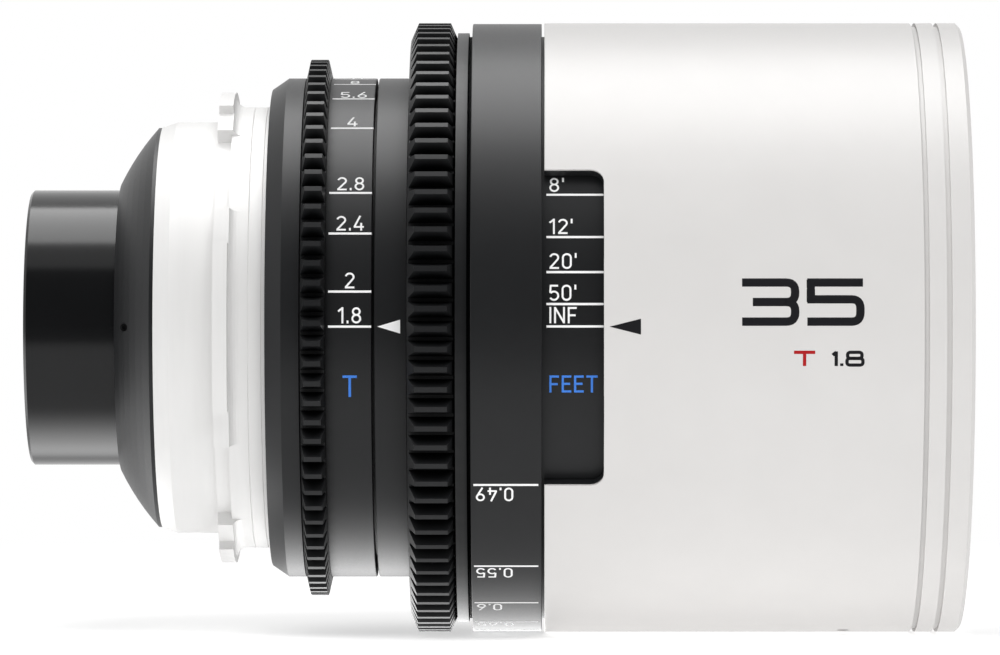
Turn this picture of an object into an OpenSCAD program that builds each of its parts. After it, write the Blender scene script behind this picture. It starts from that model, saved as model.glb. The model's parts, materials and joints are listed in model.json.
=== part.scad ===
// Cinema prime lens on a four-eared bayonet mount, with geared focus and iris rings.
// The optical axis is X: the front is at +X, the camera side at -X, and x = 0 is the seat
// of the mount. +Z is up, and the scales are read from the -Y side.
// Angles about the axis run from +Y towards +Z, so the reading side is at 180 degrees.
// Lengths are in millimetres, and an outline's points are [radius, x].

/* [Mount] */
// Diameter of the register that slides into the camera
register_d = 54; // [50:0.5:58]
// Length of the register behind the seat
register_len = 7.8; // [6:0.1:10]
// Length of the lead-in at the register's rear edge
register_lead = 2; // [0.5:0.1:3]
// Drop of the lead-in
register_lead_drop = 0.65; // [0.2:0.05:1]
// Wall of the register
register_wall = 2.4; // [1.6:0.1:3]
// Thickness of the four ears
ear_thick = 1.85; // [1.4:0.05:2.6]
// Height of an ear above the register
ear_rise = 3.9; // [3.2:0.1:5]
// Drop from an ear's top to its stepped ends
ear_step_drop = 1.1; // [0.5:0.1:1.5]
// Height of the recess floor between ears above the register
ear_floor_rise = 0.9; // [0.4:0.1:1.4]
// Half angle of an ear's top
ear_half_angle = 21; // [15:0.5:25]
// Half angle of an ear with its stepped ends
ear_step_half_angle = 31; // [27:0.5:36]
// Radius of the hollow fillet in front of the ears
ear_fillet = 1.4; // [0.6:0.1:1.6]
// Height of the neck above the register
neck_rise = 1.95; // [1.6:0.05:2.6]
// Length of the neck in front of the ears
neck_len = 2.61; // [2:0.01:4]
// Length of the base ring
base_ring_len = 1.72; // [1.2:0.01:4]
// Thickness of the shim that sets the flange depth
shim_thick = 0.5; // [0.2:0.05:1]
// Gap between the rear tube and the mount's web
mount_web_gap = 1.95; // [1:0.05:2.5]
// Depth of the mount's web behind the seat
mount_web_depth = 1.2; // [0.5:0.1:3]
// Diameter of the mount screws
mount_screw_d = 1.6; // [1.2:0.1:1.8]
// Diameter of the mount screws' heads
mount_head_d = 3; // [2.4:0.1:3.2]
// Height of the mount screws' heads
mount_head_h = 1.2; // [0.6:0.1:1.6]

/* [Rear tube] */
// Diameter of the rear tube
rear_tube_d = 36.1; // [32:0.1:39]
// Wall of the rear tube
rear_tube_wall = 2; // [1.5:0.1:3]
// Reach of the rear tube behind the seat
rear_tube_reach = 25; // [22:0.5:29]
// Bevel of the rear tube's end
rear_tube_bevel = 0.35; // [0.1:0.05:0.8]
// Length of the rear cone
cone_len = 5.4; // [4.5:0.1:8]
// Width of the flat ring at the cone's small end
cone_face = 0.95; // [0.4:0.05:1.5]
// Swell of the cone over a straight one
cone_bulge = 0.3; // [0.1:0.05:0.8]
// Length of the rim at the cone's large end
cone_rim = 0.5; // [0.3:0.05:1]
// Diameter of the cone's grub screws
cone_screw_d = 1; // [0.6:0.1:1.4]
// Distance of the grub screws from the cone's small end
cone_screw_inset = 1.4; // [1:0.1:2.2]

/* [Body] */
// Step from the front barrel's skin down to the collar, the iris band and the centre band
body_step = 7.25; // [6.5:0.05:8]
// Length of the rear collar
collar_len = 4.45; // [3:0.1:8]
// Length of the chamfer at the collar's rear
collar_chamfer = 2.1; // [1:0.1:2.5]
// Drop of the collar's chamfer
collar_chamfer_drop = 1.45; // [0.8:0.05:2]
// Length of the centre band that carries the index mark
index_band_len = 4.1; // [3:0.05:8]
// Thickness of the centre barrel's rear wall
bulkhead = 3; // [2.6:0.1:5]

/* [Iris] */
// Height of the iris gear's tips above the iris band, before it is fitted to whole teeth
iris_gear_rise = 2.45; // [2:0.05:4]
// Width of the iris gear
iris_gear_w = 3.2; // [2.6:0.1:6]
// Length of the slope at each end of the iris gear's teeth
iris_gear_slope = 0.5; // [0.2:0.05:1]
// Length of the iris scale band
iris_band_len = 5.9; // [5:0.1:10]
// Wall of the iris ring at its band
iris_wall = 2.75; // [2.2:0.05:3.4]
// Angle between the widest and the smallest stop
iris_throw = 91; // [70:1:100]
// Diameter of the opening at the widest stop
aperture_d = 23.2; // [20:0.2:24]
// Diameter of the opening at the smallest stop
aperture_min_d = 2.6; // [1.6:0.1:4]
// Width of a blade
blade_width = 6.8; // [6.4:0.1:7.4]
// Angle that a blade spans
blade_span = 112; // [100:1:120]
// Thickness of a blade
blade_thick = 0.12; // [0.06:0.01:0.2]
// Space between neighbouring blades
blade_gap = 0.13; // [0.06:0.01:0.2]
// Height of the blade pivots above the blades' outer edge
pivot_rise = 3.4; // [3:0.1:3.8]
// Height of the blade drive pins above the blades' outer edge
drive_rise = 1.8; // [1.5:0.1:2.2]
// Angle from a blade's pivot to its drive pin
drive_angle = 30; // [26:1:32]
// Diameter of the pins on a blade
blade_pin_d = 0.9; // [0.6:0.1:1]
// Width of a blade's arm around its pins
blade_arm_w = 2.2; // [1.8:0.1:2.4]
// Thickness of the iris base plate
base_plate_thick = 1.5; // [1:0.1:2.5]
// Thickness of the iris cam plate
cam_plate_thick = 2; // [1.8:0.1:3]
// Depth of the spiral grooves
groove_depth = 1.2; // [0.8:0.1:1.4]
// Diameter of the pin that couples the ring to the cam plate
iris_pin_d = 1.2; // [0.8:0.1:1.6]
// Thickness of the iris retaining ring
iris_keeper_thick = 1.6; // [1:0.1:2.5]

/* [Focus] */
// Height of the focus gear's tips above the scale band, before it is fitted to whole teeth
focus_gear_rise = 0.1; // [0:0.1:3]
// Width of the focus gear
focus_gear_w = 6.1; // [5:0.1:9]
// Length of the slope at each end of the focus gear's teeth
focus_gear_slope = 0.97; // [0.4:0.01:1.5]
// Length of the narrow band in front of the gear
focus_neck_len = 1.45; // [1:0.05:4]
// Drop of the narrow band below the scale band
focus_neck_drop = 1.2; // [0.6:0.1:1.6]
// Width of the groove behind the scale band
focus_groove_w = 0.5; // [0.3:0.05:1]
// Depth of that groove below the narrow band
focus_groove_depth = 0.5; // [0.2:0.1:1]
// Length of the focus scale band
focus_band_len = 9; // [7:0.1:14]
// Angle from infinity to the closest distance
focus_throw = 150; // [120:1:160]
// Travel of the focus cell
focus_travel = 5.5; // [5:0.1:7]
// Wall of the focus cell
cell_wall = 2.5; // [2.2:0.1:3.5]
// Length of the focus cell
cell_len = 24; // [23:0.5:26]
// Wall of the guide tube around the cell
guide_wall = 2.2; // [1.6:0.1:2.6]
// Wall of the cam sleeve
cam_wall = 1.8; // [1.4:0.1:2.2]
// Height of the cam sleeve's flange
cam_flange_rise = 4; // [3.7:0.1:4.4]
// Thickness of the cam sleeve's flange
cam_flange_thick = 1.8; // [1.2:0.1:2]
// Diameter of the cam rollers
roller_d = 3; // [2.4:0.1:3.2]
// Diameter of the roller screws
roller_screw_d = 1.4; // [1:0.1:1.5]
// Diameter of the roller screws' heads
roller_head_d = 2.4; // [1.8:0.1:2.4]
// Height of the roller screws' heads
roller_head_h = 0.5; // [0.3:0.1:0.7]
// Diameter of the dowels that lock the cam sleeve
dowel_d = 1.2; // [0.8:0.1:1.4]
// Diameter of the focus stop pin
stop_pin_d = 1.2; // [0.8:0.1:1.4]
// Thickness of the thrust washers
washer_thick = 1; // [0.6:0.1:1.2]
// Width of the thrust washers
washer_width = 3; // [2:0.1:3.4]
// Thickness of the focus retaining ring
focus_keeper_thick = 2.5; // [1.5:0.1:4]

/* [Distance drum] */
// Thickness of the drum's flange
drum_flange_thick = 1.5; // [1:0.1:1.6]
// Wall of the drum
drum_wall = 1.1; // [0.8:0.1:1.3]
// Reach of the drum past the window
drum_reach = 1.6; // [1:0.1:3]
// Distance of the drum screws from the drum's wall
drum_land = 1.6; // [1.3:0.1:2]
// Diameter of the drum screws
drum_screw_d = 1.2; // [0.8:0.1:1.4]
// Diameter of the drum screws' heads
drum_head_d = 2; // [1.6:0.1:2.2]
// Height of the drum screws' heads
drum_head_h = 0.8; // [0.5:0.1:1.2]

/* [Front barrel] */
// Diameter of the front barrel
front_d = 80; // [72:0.5:88]
// Length of the front barrel
front_barrel_len = 47.9; // [46:0.1:60]
// Wall of the barrel over the distance drum
window_wall = 1.5; // [1.2:0.1:1.8]
// Length of the distance window
window_len = 7.53; // [5:0.1:12]
// Half angle of the distance window
window_half_angle = 30; // [15:0.5:40]
// Radius of the window's front corners
window_corner = 1.7; // [0.8:0.1:2.4]
// Length of the web that holds the barrel on the guide tube
web_len = 4; // [3:0.1:6]
// Wall of the barrel around the front cell
cell_seat_wall = 3; // [2.6:0.1:3.4]
// Diameter of the barrel's grub screw
grub_d = 1.5; // [1:0.1:2]
// Distance of the grub screw from the barrel's front end
grub_inset = 8.9; // [7:0.1:12]
// Angle of the grub screw about the axis
grub_angle = 261.5; // [240:0.5:300]

/* [Front ring] */
// Length of the front ring in front of the barrel
front_ring_len = 6.4; // [5.5:0.1:12]
// Width of the groove at the joint with the barrel
joint_groove_w = 0.6; // [0.3:0.05:1]
// Depth of the grooves around the front ring
ring_groove_depth = 0.45; // [0.2:0.05:0.7]
// Distance of the second groove from the joint
second_groove_at = 2.8; // [1.6:0.1:3.2]
// Width of the second groove
second_groove_w = 0.65; // [0.3:0.05:1]
// Bevel of the front rim
rim_bevel = 0.5; // [0.2:0.05:0.8]
// Wall of the ring around the filter thread
filter_wall = 1.5; // [1.2:0.1:2]
// Depth of the filter thread
filter_depth = 5.4; // [4:0.1:6]
// Length of the ring's skirt inside the barrel
skirt_len = 5; // [3:0.1:6]
// Wall of the ring's skirt
skirt_wall = 1.3; // [1:0.1:1.4]

/* [Glass and cells] */
// Width of the flat rim on an element
glass_land = 1.3; // [1:0.1:1.6]
// Edge thickness of the rear group's elements
rear_glass_edge = 5; // [4:0.1:6]
// Length of the inner spacer in the rear tube
inner_spacer_len = 6.5; // [5:0.1:8]
// Length of the lip at the rear tube's front
rear_lip_len = 2.6; // [1:0.1:4]
// Thickness of the retaining rings around the glass
keeper_thick = 1.4; // [1:0.1:2]
// Edge thickness of the focus group's elements
focus_glass_edge = 5.5; // [4:0.1:6]
// Edge thickness of the inner front element
inner_glass_edge = 6.5; // [5:0.1:8]
// Width of the step that the inner front element's retainer passes
inner_glass_step = 4; // [3:0.1:5]
// Edge thickness of the front element
front_glass_edge = 6; // [5:0.1:8]
// Wall of the front cell around the front element
front_cell_wall = 1.98; // [1.6:0.02:3]
// Depth of the hollow in the front element
front_glass_hollow = 2.6; // [1:0.1:3.6]
// Distance of the front cell's end behind the barrel's end
front_cell_inset = 1.6; // [1:0.1:3]
// Width of the step that the front element rests on
front_glass_step = 4; // [3:0.1:5]
// Width of the rim around the baffle's opening
baffle_rim = 1.5; // [1:0.1:2]
// Width of the baffle at each side of its opening
baffle_side = 8; // [7:0.5:12]
// Width of the baffle above and below its opening
baffle_top = 13; // [12:0.5:16]

/* [Fits] */
// Radial gap of a running or sliding fit
run_gap = 0.05; // [0.02:0.01:0.08]
// Radial gap of pieces that are fixed in each other
seat_gap = 0.02; // [0.01:0.01:0.04]
// Gap beside a roller or pin in its slot
slot_gap = 0.1; // [0.05:0.01:0.15]
// Axial gap between a turning ring and its neighbour
side_gap = 0.1; // [0.05:0.05:0.3]
// Axial gap in front of the iris ring and of the focus ring
scale_gap = 0.35; // [0.25:0.05:0.6]
// Bevel of the rings' edges
edge_bevel = 0.08; // [0.05:0.01:0.3]

/* [Hidden] */
$fn = 120;

black = "#232427";
white = "#e8e6e1";
silver = "#c6c8ca";
brass = "#b99a52";
steel = "#8d9094";
glass = "#a9c3cf";

reading_side = 180;
quarter = 90;

// How far a cut runs past the face that it opens
past = 1;
// Drop of the gear rims' foot below the tooth roots
tooth_foot = 0.4;
// How far the teeth's flanks are drawn past the tips
tooth_over = 0.2;
// Width and depth of the spanner slots
keeper_slot = 0.7;
// Depth of the barrel's grub screw below the skin
grub_sink = 0.4;
// Drop of the focus band and of the cone's rim below their neighbours
skin_step = 0.1;
// Thread left under the tips of the mount screws
mount_screw_tip = 0.5;
// Overlap of the distance drum's flange on the cam sleeve's flange
drum_lap = 1;
// Height that the spacers leave free on an element's rim
rim_free = 0.2;
// Gap around pieces that must stay clear of each other
keeper_clear = 0.3;
// A full turn
full_turn = 360;

// Standard gear for lens motors
gear_module = 0.8;
gear_addendum = gear_module;
gear_dedendum = 1.25 * gear_module;
pressure_angle = 20;
function whole_teeth(r) = round(2 * (r - gear_addendum) / gear_module);
iris_tooth_angle = reading_side - 0.85;
focus_tooth_angle = reading_side + 0.3;

// Stations along the axis, from the rear to the front
x_rear = -rear_tube_reach;
x_register = -register_len;
x_cone = x_register - cone_len;
x_neck = ear_thick;
x_base = x_neck + neck_len;
x_shim = x_base + base_ring_len;
x_collar = x_shim + shim_thick;
x_collar_end = x_collar + collar_len;
x_iris = x_collar_end + side_gap;
x_iris_band = x_iris + iris_gear_w;
x_iris_end = x_iris_band + iris_band_len;
x_index = x_iris_end + scale_gap;
x_index_end = x_index + index_band_len;
x_focus = x_index_end + side_gap;
x_focus_neck = x_focus + focus_gear_w;
x_focus_groove = x_focus_neck + focus_neck_len;
x_focus_band = x_focus_groove + focus_groove_w;
x_focus_end = x_focus_band + focus_band_len;
x_barrel = x_focus_end + scale_gap;
x_window_end = x_barrel + window_len;
x_barrel_end = x_barrel + front_barrel_len;
x_front = x_barrel_end + front_ring_len;

// Radius of the front barrel, which the body and the focus mechanism follow
front_r = front_d / 2;

// Radii of the mount and the rear tube
register_r = register_d / 2;
register_inner_r = register_r - register_wall;
ear_r = register_r + ear_rise;
ear_step_r = ear_r - ear_step_drop;
ear_floor_r = register_r + ear_floor_rise;
neck_r = register_r + neck_rise;
rear_tube_r = rear_tube_d / 2;
rear_bore_r = rear_tube_r - rear_tube_wall;
rear_lip_r = rear_bore_r - glass_land;
mount_web_r = rear_tube_r + mount_web_gap;
mount_screw_count = 6;
mount_screw_grip = bulkhead - mount_screw_tip;
mount_screw_circle = (mount_web_r + register_inner_r) / 2;

// Radii of the iris
body_r = front_r - body_step;
iris_teeth = whole_teeth(body_r + iris_gear_rise);
journal_r = body_r - iris_wall - run_gap;
aperture_r = aperture_d / 2;
blade_r = aperture_r + blade_width;
pivot_r = blade_r + pivot_rise;
drive_r = blade_r + drive_rise;
arm_r = blade_arm_w / 2;
plate_r = pivot_r + arm_r + pivot_rise / 2;
pocket_r = plate_r + run_gap;
blade_count = 9;
blade_start = 11;
blade_step = full_turn / blade_count;
blade_swing = 2 * asin((aperture_r - aperture_min_d / 2) / (2 * pivot_r));
groove_w = blade_pin_d + 2 * slot_gap;
cam_plate_r = aperture_r + 2 * edge_bevel;
iris_pin_hold = 2;
iris_pin_angle = quarter;
iris_slot_w = iris_pin_d + 2 * slot_gap;

// Stations of the iris
x_pocket = x_collar + bulkhead;
x_blades = x_pocket + base_plate_thick + blade_gap;
blade_pitch = blade_thick + blade_gap;
x_cam_plate = x_blades + blade_count * blade_pitch;
x_iris_pin = x_cam_plate + cam_plate_thick / 2;
x_iris_keeper = x_cam_plate + cam_plate_thick + blade_gap;
x_pocket_end = x_iris_keeper + iris_keeper_thick;

// Radii of the focus mechanism, from the drum inwards
window_r = front_r - window_wall;
drum_r = window_r - keeper_clear;
drum_inner_r = drum_r - drum_wall;
drum_screw_circle = drum_inner_r - drum_land;
cam_flange_r = drum_screw_circle - drum_screw_d / 2 - keeper_clear;
cam_outer_r = cam_flange_r - cam_flange_rise;
cam_r = cam_outer_r - cam_wall;
guide_outer_r = cam_r - run_gap;
guide_r = guide_outer_r - guide_wall;
cell_r = guide_r - run_gap;
cell_bore_r = cell_r - cell_wall;
focus_bore_r = cam_outer_r + seat_gap;
washer_r = guide_outer_r + washer_width;
stop_r = cam_outer_r + cam_flange_rise / 3;
drum_flange_r = cam_flange_r - drum_lap;
focus_keeper_r = drum_flange_r - keeper_clear;
roller_count = 3;
roller_angle = quarter;
dowel_angle = 60;
drum_screw_count = 6;
stop_angle = 0;
stop_slack = 0.5;
cell_clear = 2;

// Radii of the front
focus_band_r = front_r - skin_step;
focus_teeth = whole_teeth(focus_band_r + focus_gear_rise);
focus_neck_r = focus_band_r - focus_neck_drop;
focus_groove_r = focus_neck_r - focus_groove_depth;
filter_r = front_r - filter_wall;
skirt_r = filter_r - edge_bevel;
skirt_inner_r = skirt_r - skirt_wall;
cell_seat_r = front_r - cell_seat_wall;
front_cell_r = min(cell_seat_r, skirt_inner_r) - seat_gap;

// Stations of the focus mechanism and the front
x_rear_washer_end = x_index_end + washer_thick;
x_drum = x_focus_end - drum_flange_thick - scale_gap;
x_cam_flange = x_drum - cam_flange_thick;
x_front_washer = x_drum + blade_gap;
x_focus_keeper = x_front_washer + washer_thick;
x_drum_end = x_window_end + drum_reach;
x_web = x_drum_end + 2 * scale_gap;
x_web_end = x_web + web_len;
x_cell = x_pocket_end + cell_clear;
x_cell_end = x_cell + cell_len;
x_cam = x_rear_washer_end + blade_gap;
x_roller = x_cam_flange - focus_travel - roller_d / 2 - slot_gap - side_gap;
roller_top_r = cam_outer_r - keeper_clear;
roller_screw_depth = 1.8;
dowel_r = stop_r + cam_flange_rise / 3;
dowel_depth = 1.5;
drum_screw_depth = 3;
focus_stop_half = asin(stop_pin_d / 2 / stop_r) + stop_slack;
iris_slot_half = asin(iris_pin_d / 2 / journal_r) + stop_slack;

// Stations of the glass
seat_lip = 1.2;
ring_inset = 0.5;
x_rear_glass = x_rear + ring_inset + keeper_thick;
x_rear_glass_end = x_rear_glass + rear_glass_edge;
x_rear_lip = x_pocket - rear_lip_len;
x_rear_front_glass = x_rear_lip - rear_glass_edge;
x_inner_spacer = x_rear_front_glass - inner_spacer_len;
x_middle_glass = x_inner_spacer - rear_glass_edge;
x_focus_rear_glass = x_cell + seat_lip;
x_focus_spacer = x_focus_rear_glass + focus_glass_edge;
x_focus_keeper_ring = x_cell_end - ring_inset - keeper_thick;
x_focus_front_glass = x_focus_keeper_ring - focus_glass_edge;
x_inner_glass = x_web_end + seat_lip;
x_inner_keeper = x_inner_glass + inner_glass_edge;
x_baffle = x_inner_keeper + keeper_thick;
baffle_thick = 1;
x_front_cell_end = x_barrel_end - front_cell_inset;
x_front_keeper = x_front_cell_end - ring_inset - keeper_thick;
x_front_glass = x_front_keeper - front_glass_edge;
x_skirt = x_barrel_end - skirt_len;
spacer_wall = glass_land - rim_free;
rear_glass_r = rear_bore_r - seat_gap;
focus_glass_r = cell_bore_r - seat_gap;
front_glass_r = front_cell_r - front_cell_wall;
baffle_r = front_glass_r - front_glass_step;
inner_glass_r = baffle_r - inner_glass_step;

// How far each curved face stands out of its rim, or, below zero, sinks into it
rear_face_bulge = [-1, 1.5];
middle_face_bulge = [1.3, 1.3];
rear_front_face_bulge = [1.5, -1.1];
focus_rear_face_bulge = [-1.6, 2];
focus_front_face_bulge = [2.4, 1.5];
inner_face_bulge = 2;

// The rear cone's curved flank, from its small end to its rim
cone_rim_r = register_r - register_lead_drop - skin_step;
cone_screw_count = 3;
cone_small = [rear_tube_r + cone_face, x_cone];
cone_large = [cone_rim_r, x_register - cone_rim];
cone_run = cone_large - cone_small;
cone_out = [cone_run[1], -cone_run[0]] / norm(cone_run);
cone_steps = 6;
function cone_point(t) = cone_small + t * cone_run + 4 * t * (1 - t) * cone_bulge * cone_out;
cone_screw_top_r = cone_small[0] + cone_run[0] * cone_screw_inset / cone_run[1];

// Moves what is drawn along Z to lie along X, with Y and Z as the other two axes
module along_x() { rotate([90, 0, 90]) children(); }

module turned(outline) { along_x() rotate_extrude() polygon(outline); }

module tube(r_in, r_out, x0, x1) {
  turned([[r_in, x0], [r_out, x0], [r_out, x1], [r_in, x1]]);
}

// A tube whose outer edges are bevelled
module ring(r_in, r_out, x0, x1) {
  turned([[r_in, x0], [r_out - edge_bevel, x0], [r_out, x0 + edge_bevel],
    [r_out, x1 - edge_bevel], [r_out - edge_bevel, x1], [r_in, x1]]);
}

// A piece of a tube between two angles
module sector(r_in, r_out, x0, x1, a0, a1) {
  along_x() rotate([0, 0, a0]) rotate_extrude(angle = a1 - a0)
    translate([r_in, x0]) square([r_out - r_in, x1 - x0]);
}

// A round rod that points away from the axis
module rod(x, angle, r_from, r_to, d) {
  rotate([angle, 0, 0]) translate([x, r_from, 0]) rotate([-quarter, 0, 0])
    cylinder(d = d, h = r_to - r_from);
}

// A round pin that lies along the axis
module pin(r, angle, x0, x1, d) {
  rotate([angle, 0, 0]) translate([x0, r, 0]) rotate([0, quarter, 0])
    cylinder(d = d, h = x1 - x0);
}

// Copies spread evenly around the axis
module around(count, start) {
  for (k = [0 : count - 1]) rotate([start + k * full_turn / count, 0, 0]) children();
}

function polar(r, angle) = [r * cos(angle), r * sin(angle)];
function spin(p, a) = [p[0] * cos(a) - p[1] * sin(a), p[0] * sin(a) + p[1] * cos(a)];

// Gear teeth with straight flanks
function pitch_r(teeth) = gear_module * teeth / 2;
function tip_r(teeth) = pitch_r(teeth) + gear_addendum;
function root_r(teeth) = pitch_r(teeth) - gear_dedendum;
function half_tooth(teeth, r) =
  (PI * gear_module / 4 - (r - pitch_r(teeth)) * tan(pressure_angle)) / r * full_turn / (2 * PI);
function tooth_outline(teeth, middle) = let (top = tip_r(teeth) + tooth_over) [
  polar(root_r(teeth), middle - half_tooth(teeth, root_r(teeth))),
  polar(top, middle - half_tooth(teeth, top)),
  polar(top, middle + half_tooth(teeth, top)),
  polar(root_r(teeth), middle + half_tooth(teeth, root_r(teeth)))];
function gear_outline(teeth, first) =
  [for (k = [0 : teeth - 1]) each tooth_outline(teeth, first + full_turn * k / teeth)];

// Radius at the foot of the slopes at a gear rim's ends
function foot_r(teeth) = root_r(teeth) - tooth_foot;

// What is cut out of a sloped rim to leave its teeth; it ends below the roots, in the slope
module gear_gaps(teeth, first, x0, width, slope) {
  foot_run = slope * tooth_foot / (tip_r(teeth) - foot_r(teeth));
  along_x() translate([0, 0, x0 - past]) linear_extrude(past + width - foot_run / 2)
    difference() {
      circle(tip_r(teeth) + past);
      polygon(gear_outline(teeth, first));
    }
}

// Outline of a toothed rim's outer side, with a slope at each end
function rim_outline(teeth, x0, width, slope) = [[foot_r(teeth), x0], [tip_r(teeth), x0 + slope],
  [tip_r(teeth), x0 + width - slope], [foot_r(teeth), x0 + width]];

// Height of a ball's face above its rim, at a distance r from the axis
function face_height(r, rim_r, bulge) =
  let (tall = abs(bulge), ball_r = (rim_r * rim_r + tall * tall) / (2 * tall))
  sign(bulge) * (sqrt(ball_r * ball_r - r * r) - ball_r + tall);

// A round element with a flat rim; each face stands out or is hollow
module element(r, x0, x1, bulge) {
  face_r = r - glass_land;
  steps = 10;
  rear_face = [for (i = [0 : steps]) let (at = face_r * i / steps)
    [at, x0 - face_height(at, face_r, bulge[0])]];
  front_face = [for (i = [steps : -1 : 0]) let (at = face_r * i / steps)
    [at, x1 + face_height(at, face_r, bulge[1])]];
  color(glass) turned(concat(rear_face, [[r, x0], [r, x1]], front_face));
}

// A retaining ring with two slots for a spanner in its outer face
module keeper(r_in, r_out, x0, x1, slots_in_front) {
  slot_x = slots_in_front ? x1 - keeper_slot : x0 - past;
  difference() {
    tube(r_in, r_out, x0, x1);
    around(2, 0) translate([slot_x, r_in - past, -keeper_slot / 2])
      cube([keeper_slot + past, (r_out - r_in) / 2 + past, keeper_slot]);
  }
}

module rear_tube() {
  color(black) turned([[rear_bore_r, x_rear], [rear_tube_r - rear_tube_bevel, x_rear],
    [rear_tube_r, x_rear + rear_tube_bevel], [rear_tube_r, x_pocket], [rear_lip_r, x_pocket],
    [rear_lip_r, x_rear_lip], [rear_bore_r, x_rear_lip]]);
}

module rear_cone() {
  color(black) difference() {
    turned(concat([[rear_tube_r + seat_gap, x_cone]],
      [for (i = [0 : cone_steps]) cone_point(i / cone_steps)],
      [[cone_rim_r, x_register], [rear_tube_r + seat_gap, x_register]]));
    around(cone_screw_count, reading_side) rod(x_cone + cone_screw_inset, 0, rear_tube_r - past,
      cone_rim_r + past, cone_screw_d + 2 * seat_gap);
  }
}

module cone_grub_screws() {
  color(steel) around(cone_screw_count, reading_side)
    rod(x_cone + cone_screw_inset, 0, rear_tube_r + seat_gap, cone_screw_top_r, cone_screw_d);
}

module mount_screw_holes(x0, x1) {
  around(mount_screw_count, 0) pin(mount_screw_circle, 0, x0, x1, mount_screw_d + 2 * seat_gap);
}

// Cuts that leave four ears with stepped ends
module ear_gaps() {
  recess_half = quarter / 2 - ear_step_half_angle;
  step_half = quarter / 2 - ear_half_angle;
  for (k = [0 : 3]) {
    middle = quarter * k + quarter / 2;
    sector(ear_floor_r, ear_r + past, -past, x_neck, middle - recess_half, middle + recess_half);
    sector(neck_r, ear_r + past, -past, x_base, middle - recess_half, middle + recess_half);
    sector(ear_step_r, ear_r + past, -past, x_base, middle - step_half, middle + step_half);
  }
}

module mount_flange() {
  fillet_middle = [neck_r + ear_fillet, x_neck + ear_fillet];
  fillet_turn = 15;
  fillet = [for (a = [0 : fillet_turn : quarter]) fillet_middle - ear_fillet * [sin(a), cos(a)]];
  color(silver) difference() {
    turned(concat([[mount_web_r, -mount_web_depth], [register_inner_r, -mount_web_depth],
      [register_inner_r, x_register], [register_r - register_lead_drop, x_register],
      [register_r, x_register + register_lead], [register_r, 0], [ear_r, 0], [ear_r, x_neck]],
      fillet, [[neck_r, x_base - edge_bevel], [neck_r - edge_bevel, x_base],
      [mount_web_r, x_base]]));
    ear_gaps();
    mount_screw_holes(-mount_web_depth - past, x_base + past);
    around(mount_screw_count, 0) pin(mount_screw_circle, 0, -mount_web_depth - past,
      -mount_web_depth + mount_head_h, mount_head_d + 2 * seat_gap);
  }
}

module mount_base_ring() {
  color(silver) difference() {
    ring(mount_web_r, neck_r, x_base, x_shim);
    mount_screw_holes(x_base - past, x_shim + past);
  }
}

module mount_shim() {
  color(silver) difference() {
    tube(mount_web_r, neck_r, x_shim, x_collar);
    mount_screw_holes(x_shim - past, x_collar + past);
  }
}

module mount_screws() {
  color(steel) around(mount_screw_count, 0) {
    pin(mount_screw_circle, 0, -mount_web_depth, -mount_web_depth + mount_head_h, mount_head_d);
    pin(mount_screw_circle, 0, -mount_web_depth, x_collar + mount_screw_grip, mount_screw_d);
  }
}

module rear_retaining_ring() {
  color(black) keeper(rear_glass_r - spacer_wall, rear_glass_r, x_rear + ring_inset,
    x_rear_glass, false);
}

module rear_element() { element(rear_glass_r, x_rear_glass, x_rear_glass_end, rear_face_bulge); }

module rear_spacer() {
  color(black) tube(rear_glass_r - spacer_wall, rear_glass_r, x_rear_glass_end, x_middle_glass);
}

module rear_middle_element() {
  element(rear_glass_r, x_middle_glass, x_inner_spacer, middle_face_bulge);
}

module rear_inner_spacer() {
  color(black) tube(rear_glass_r - spacer_wall, rear_glass_r, x_inner_spacer, x_rear_front_glass);
}

module rear_front_element() {
  element(rear_glass_r, x_rear_front_glass, x_rear_lip, rear_front_face_bulge);
}

// A straight slot along the guide tube for one cam roller
module guide_slot() {
  slot_w = roller_d + 2 * slot_gap;
  rod(x_roller, 0, guide_r - past, guide_outer_r + past, slot_w);
  rod(x_roller + focus_travel, 0, guide_r - past, guide_outer_r + past, slot_w);
  translate([x_roller, guide_r - past, -slot_w / 2])
    cube([focus_travel, guide_wall + 2 * past, slot_w]);
}

module centre_barrel() {
  color(black) difference() {
    turned([[rear_tube_r + seat_gap, x_collar], [journal_r, x_collar], [journal_r, x_index],
      [body_r - edge_bevel, x_index], [body_r, x_index + edge_bevel],
      [body_r, x_index_end - edge_bevel], [body_r - edge_bevel, x_index_end],
      [guide_outer_r, x_index_end], [guide_outer_r, x_web_end], [guide_r, x_web_end],
      [guide_r, x_pocket_end], [pocket_r, x_pocket_end], [pocket_r, x_pocket],
      [rear_tube_r + seat_gap, x_pocket]]);
    mount_screw_holes(x_collar - past, x_collar + mount_screw_grip + seat_gap);
    sector(pocket_r - past, journal_r + past, x_iris_pin - iris_slot_w / 2,
      x_iris_pin + iris_slot_w / 2, iris_pin_angle - iris_slot_half,
      iris_pin_angle + iris_throw + iris_slot_half);
    around(roller_count, roller_angle) guide_slot();
  }
}

module rear_collar() {
  color(black) turned([[journal_r + seat_gap, x_collar], [body_r - collar_chamfer_drop, x_collar],
    [body_r, x_collar + collar_chamfer], [body_r, x_collar_end - edge_bevel],
    [body_r - edge_bevel, x_collar_end], [journal_r + seat_gap, x_collar_end]]);
}

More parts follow.
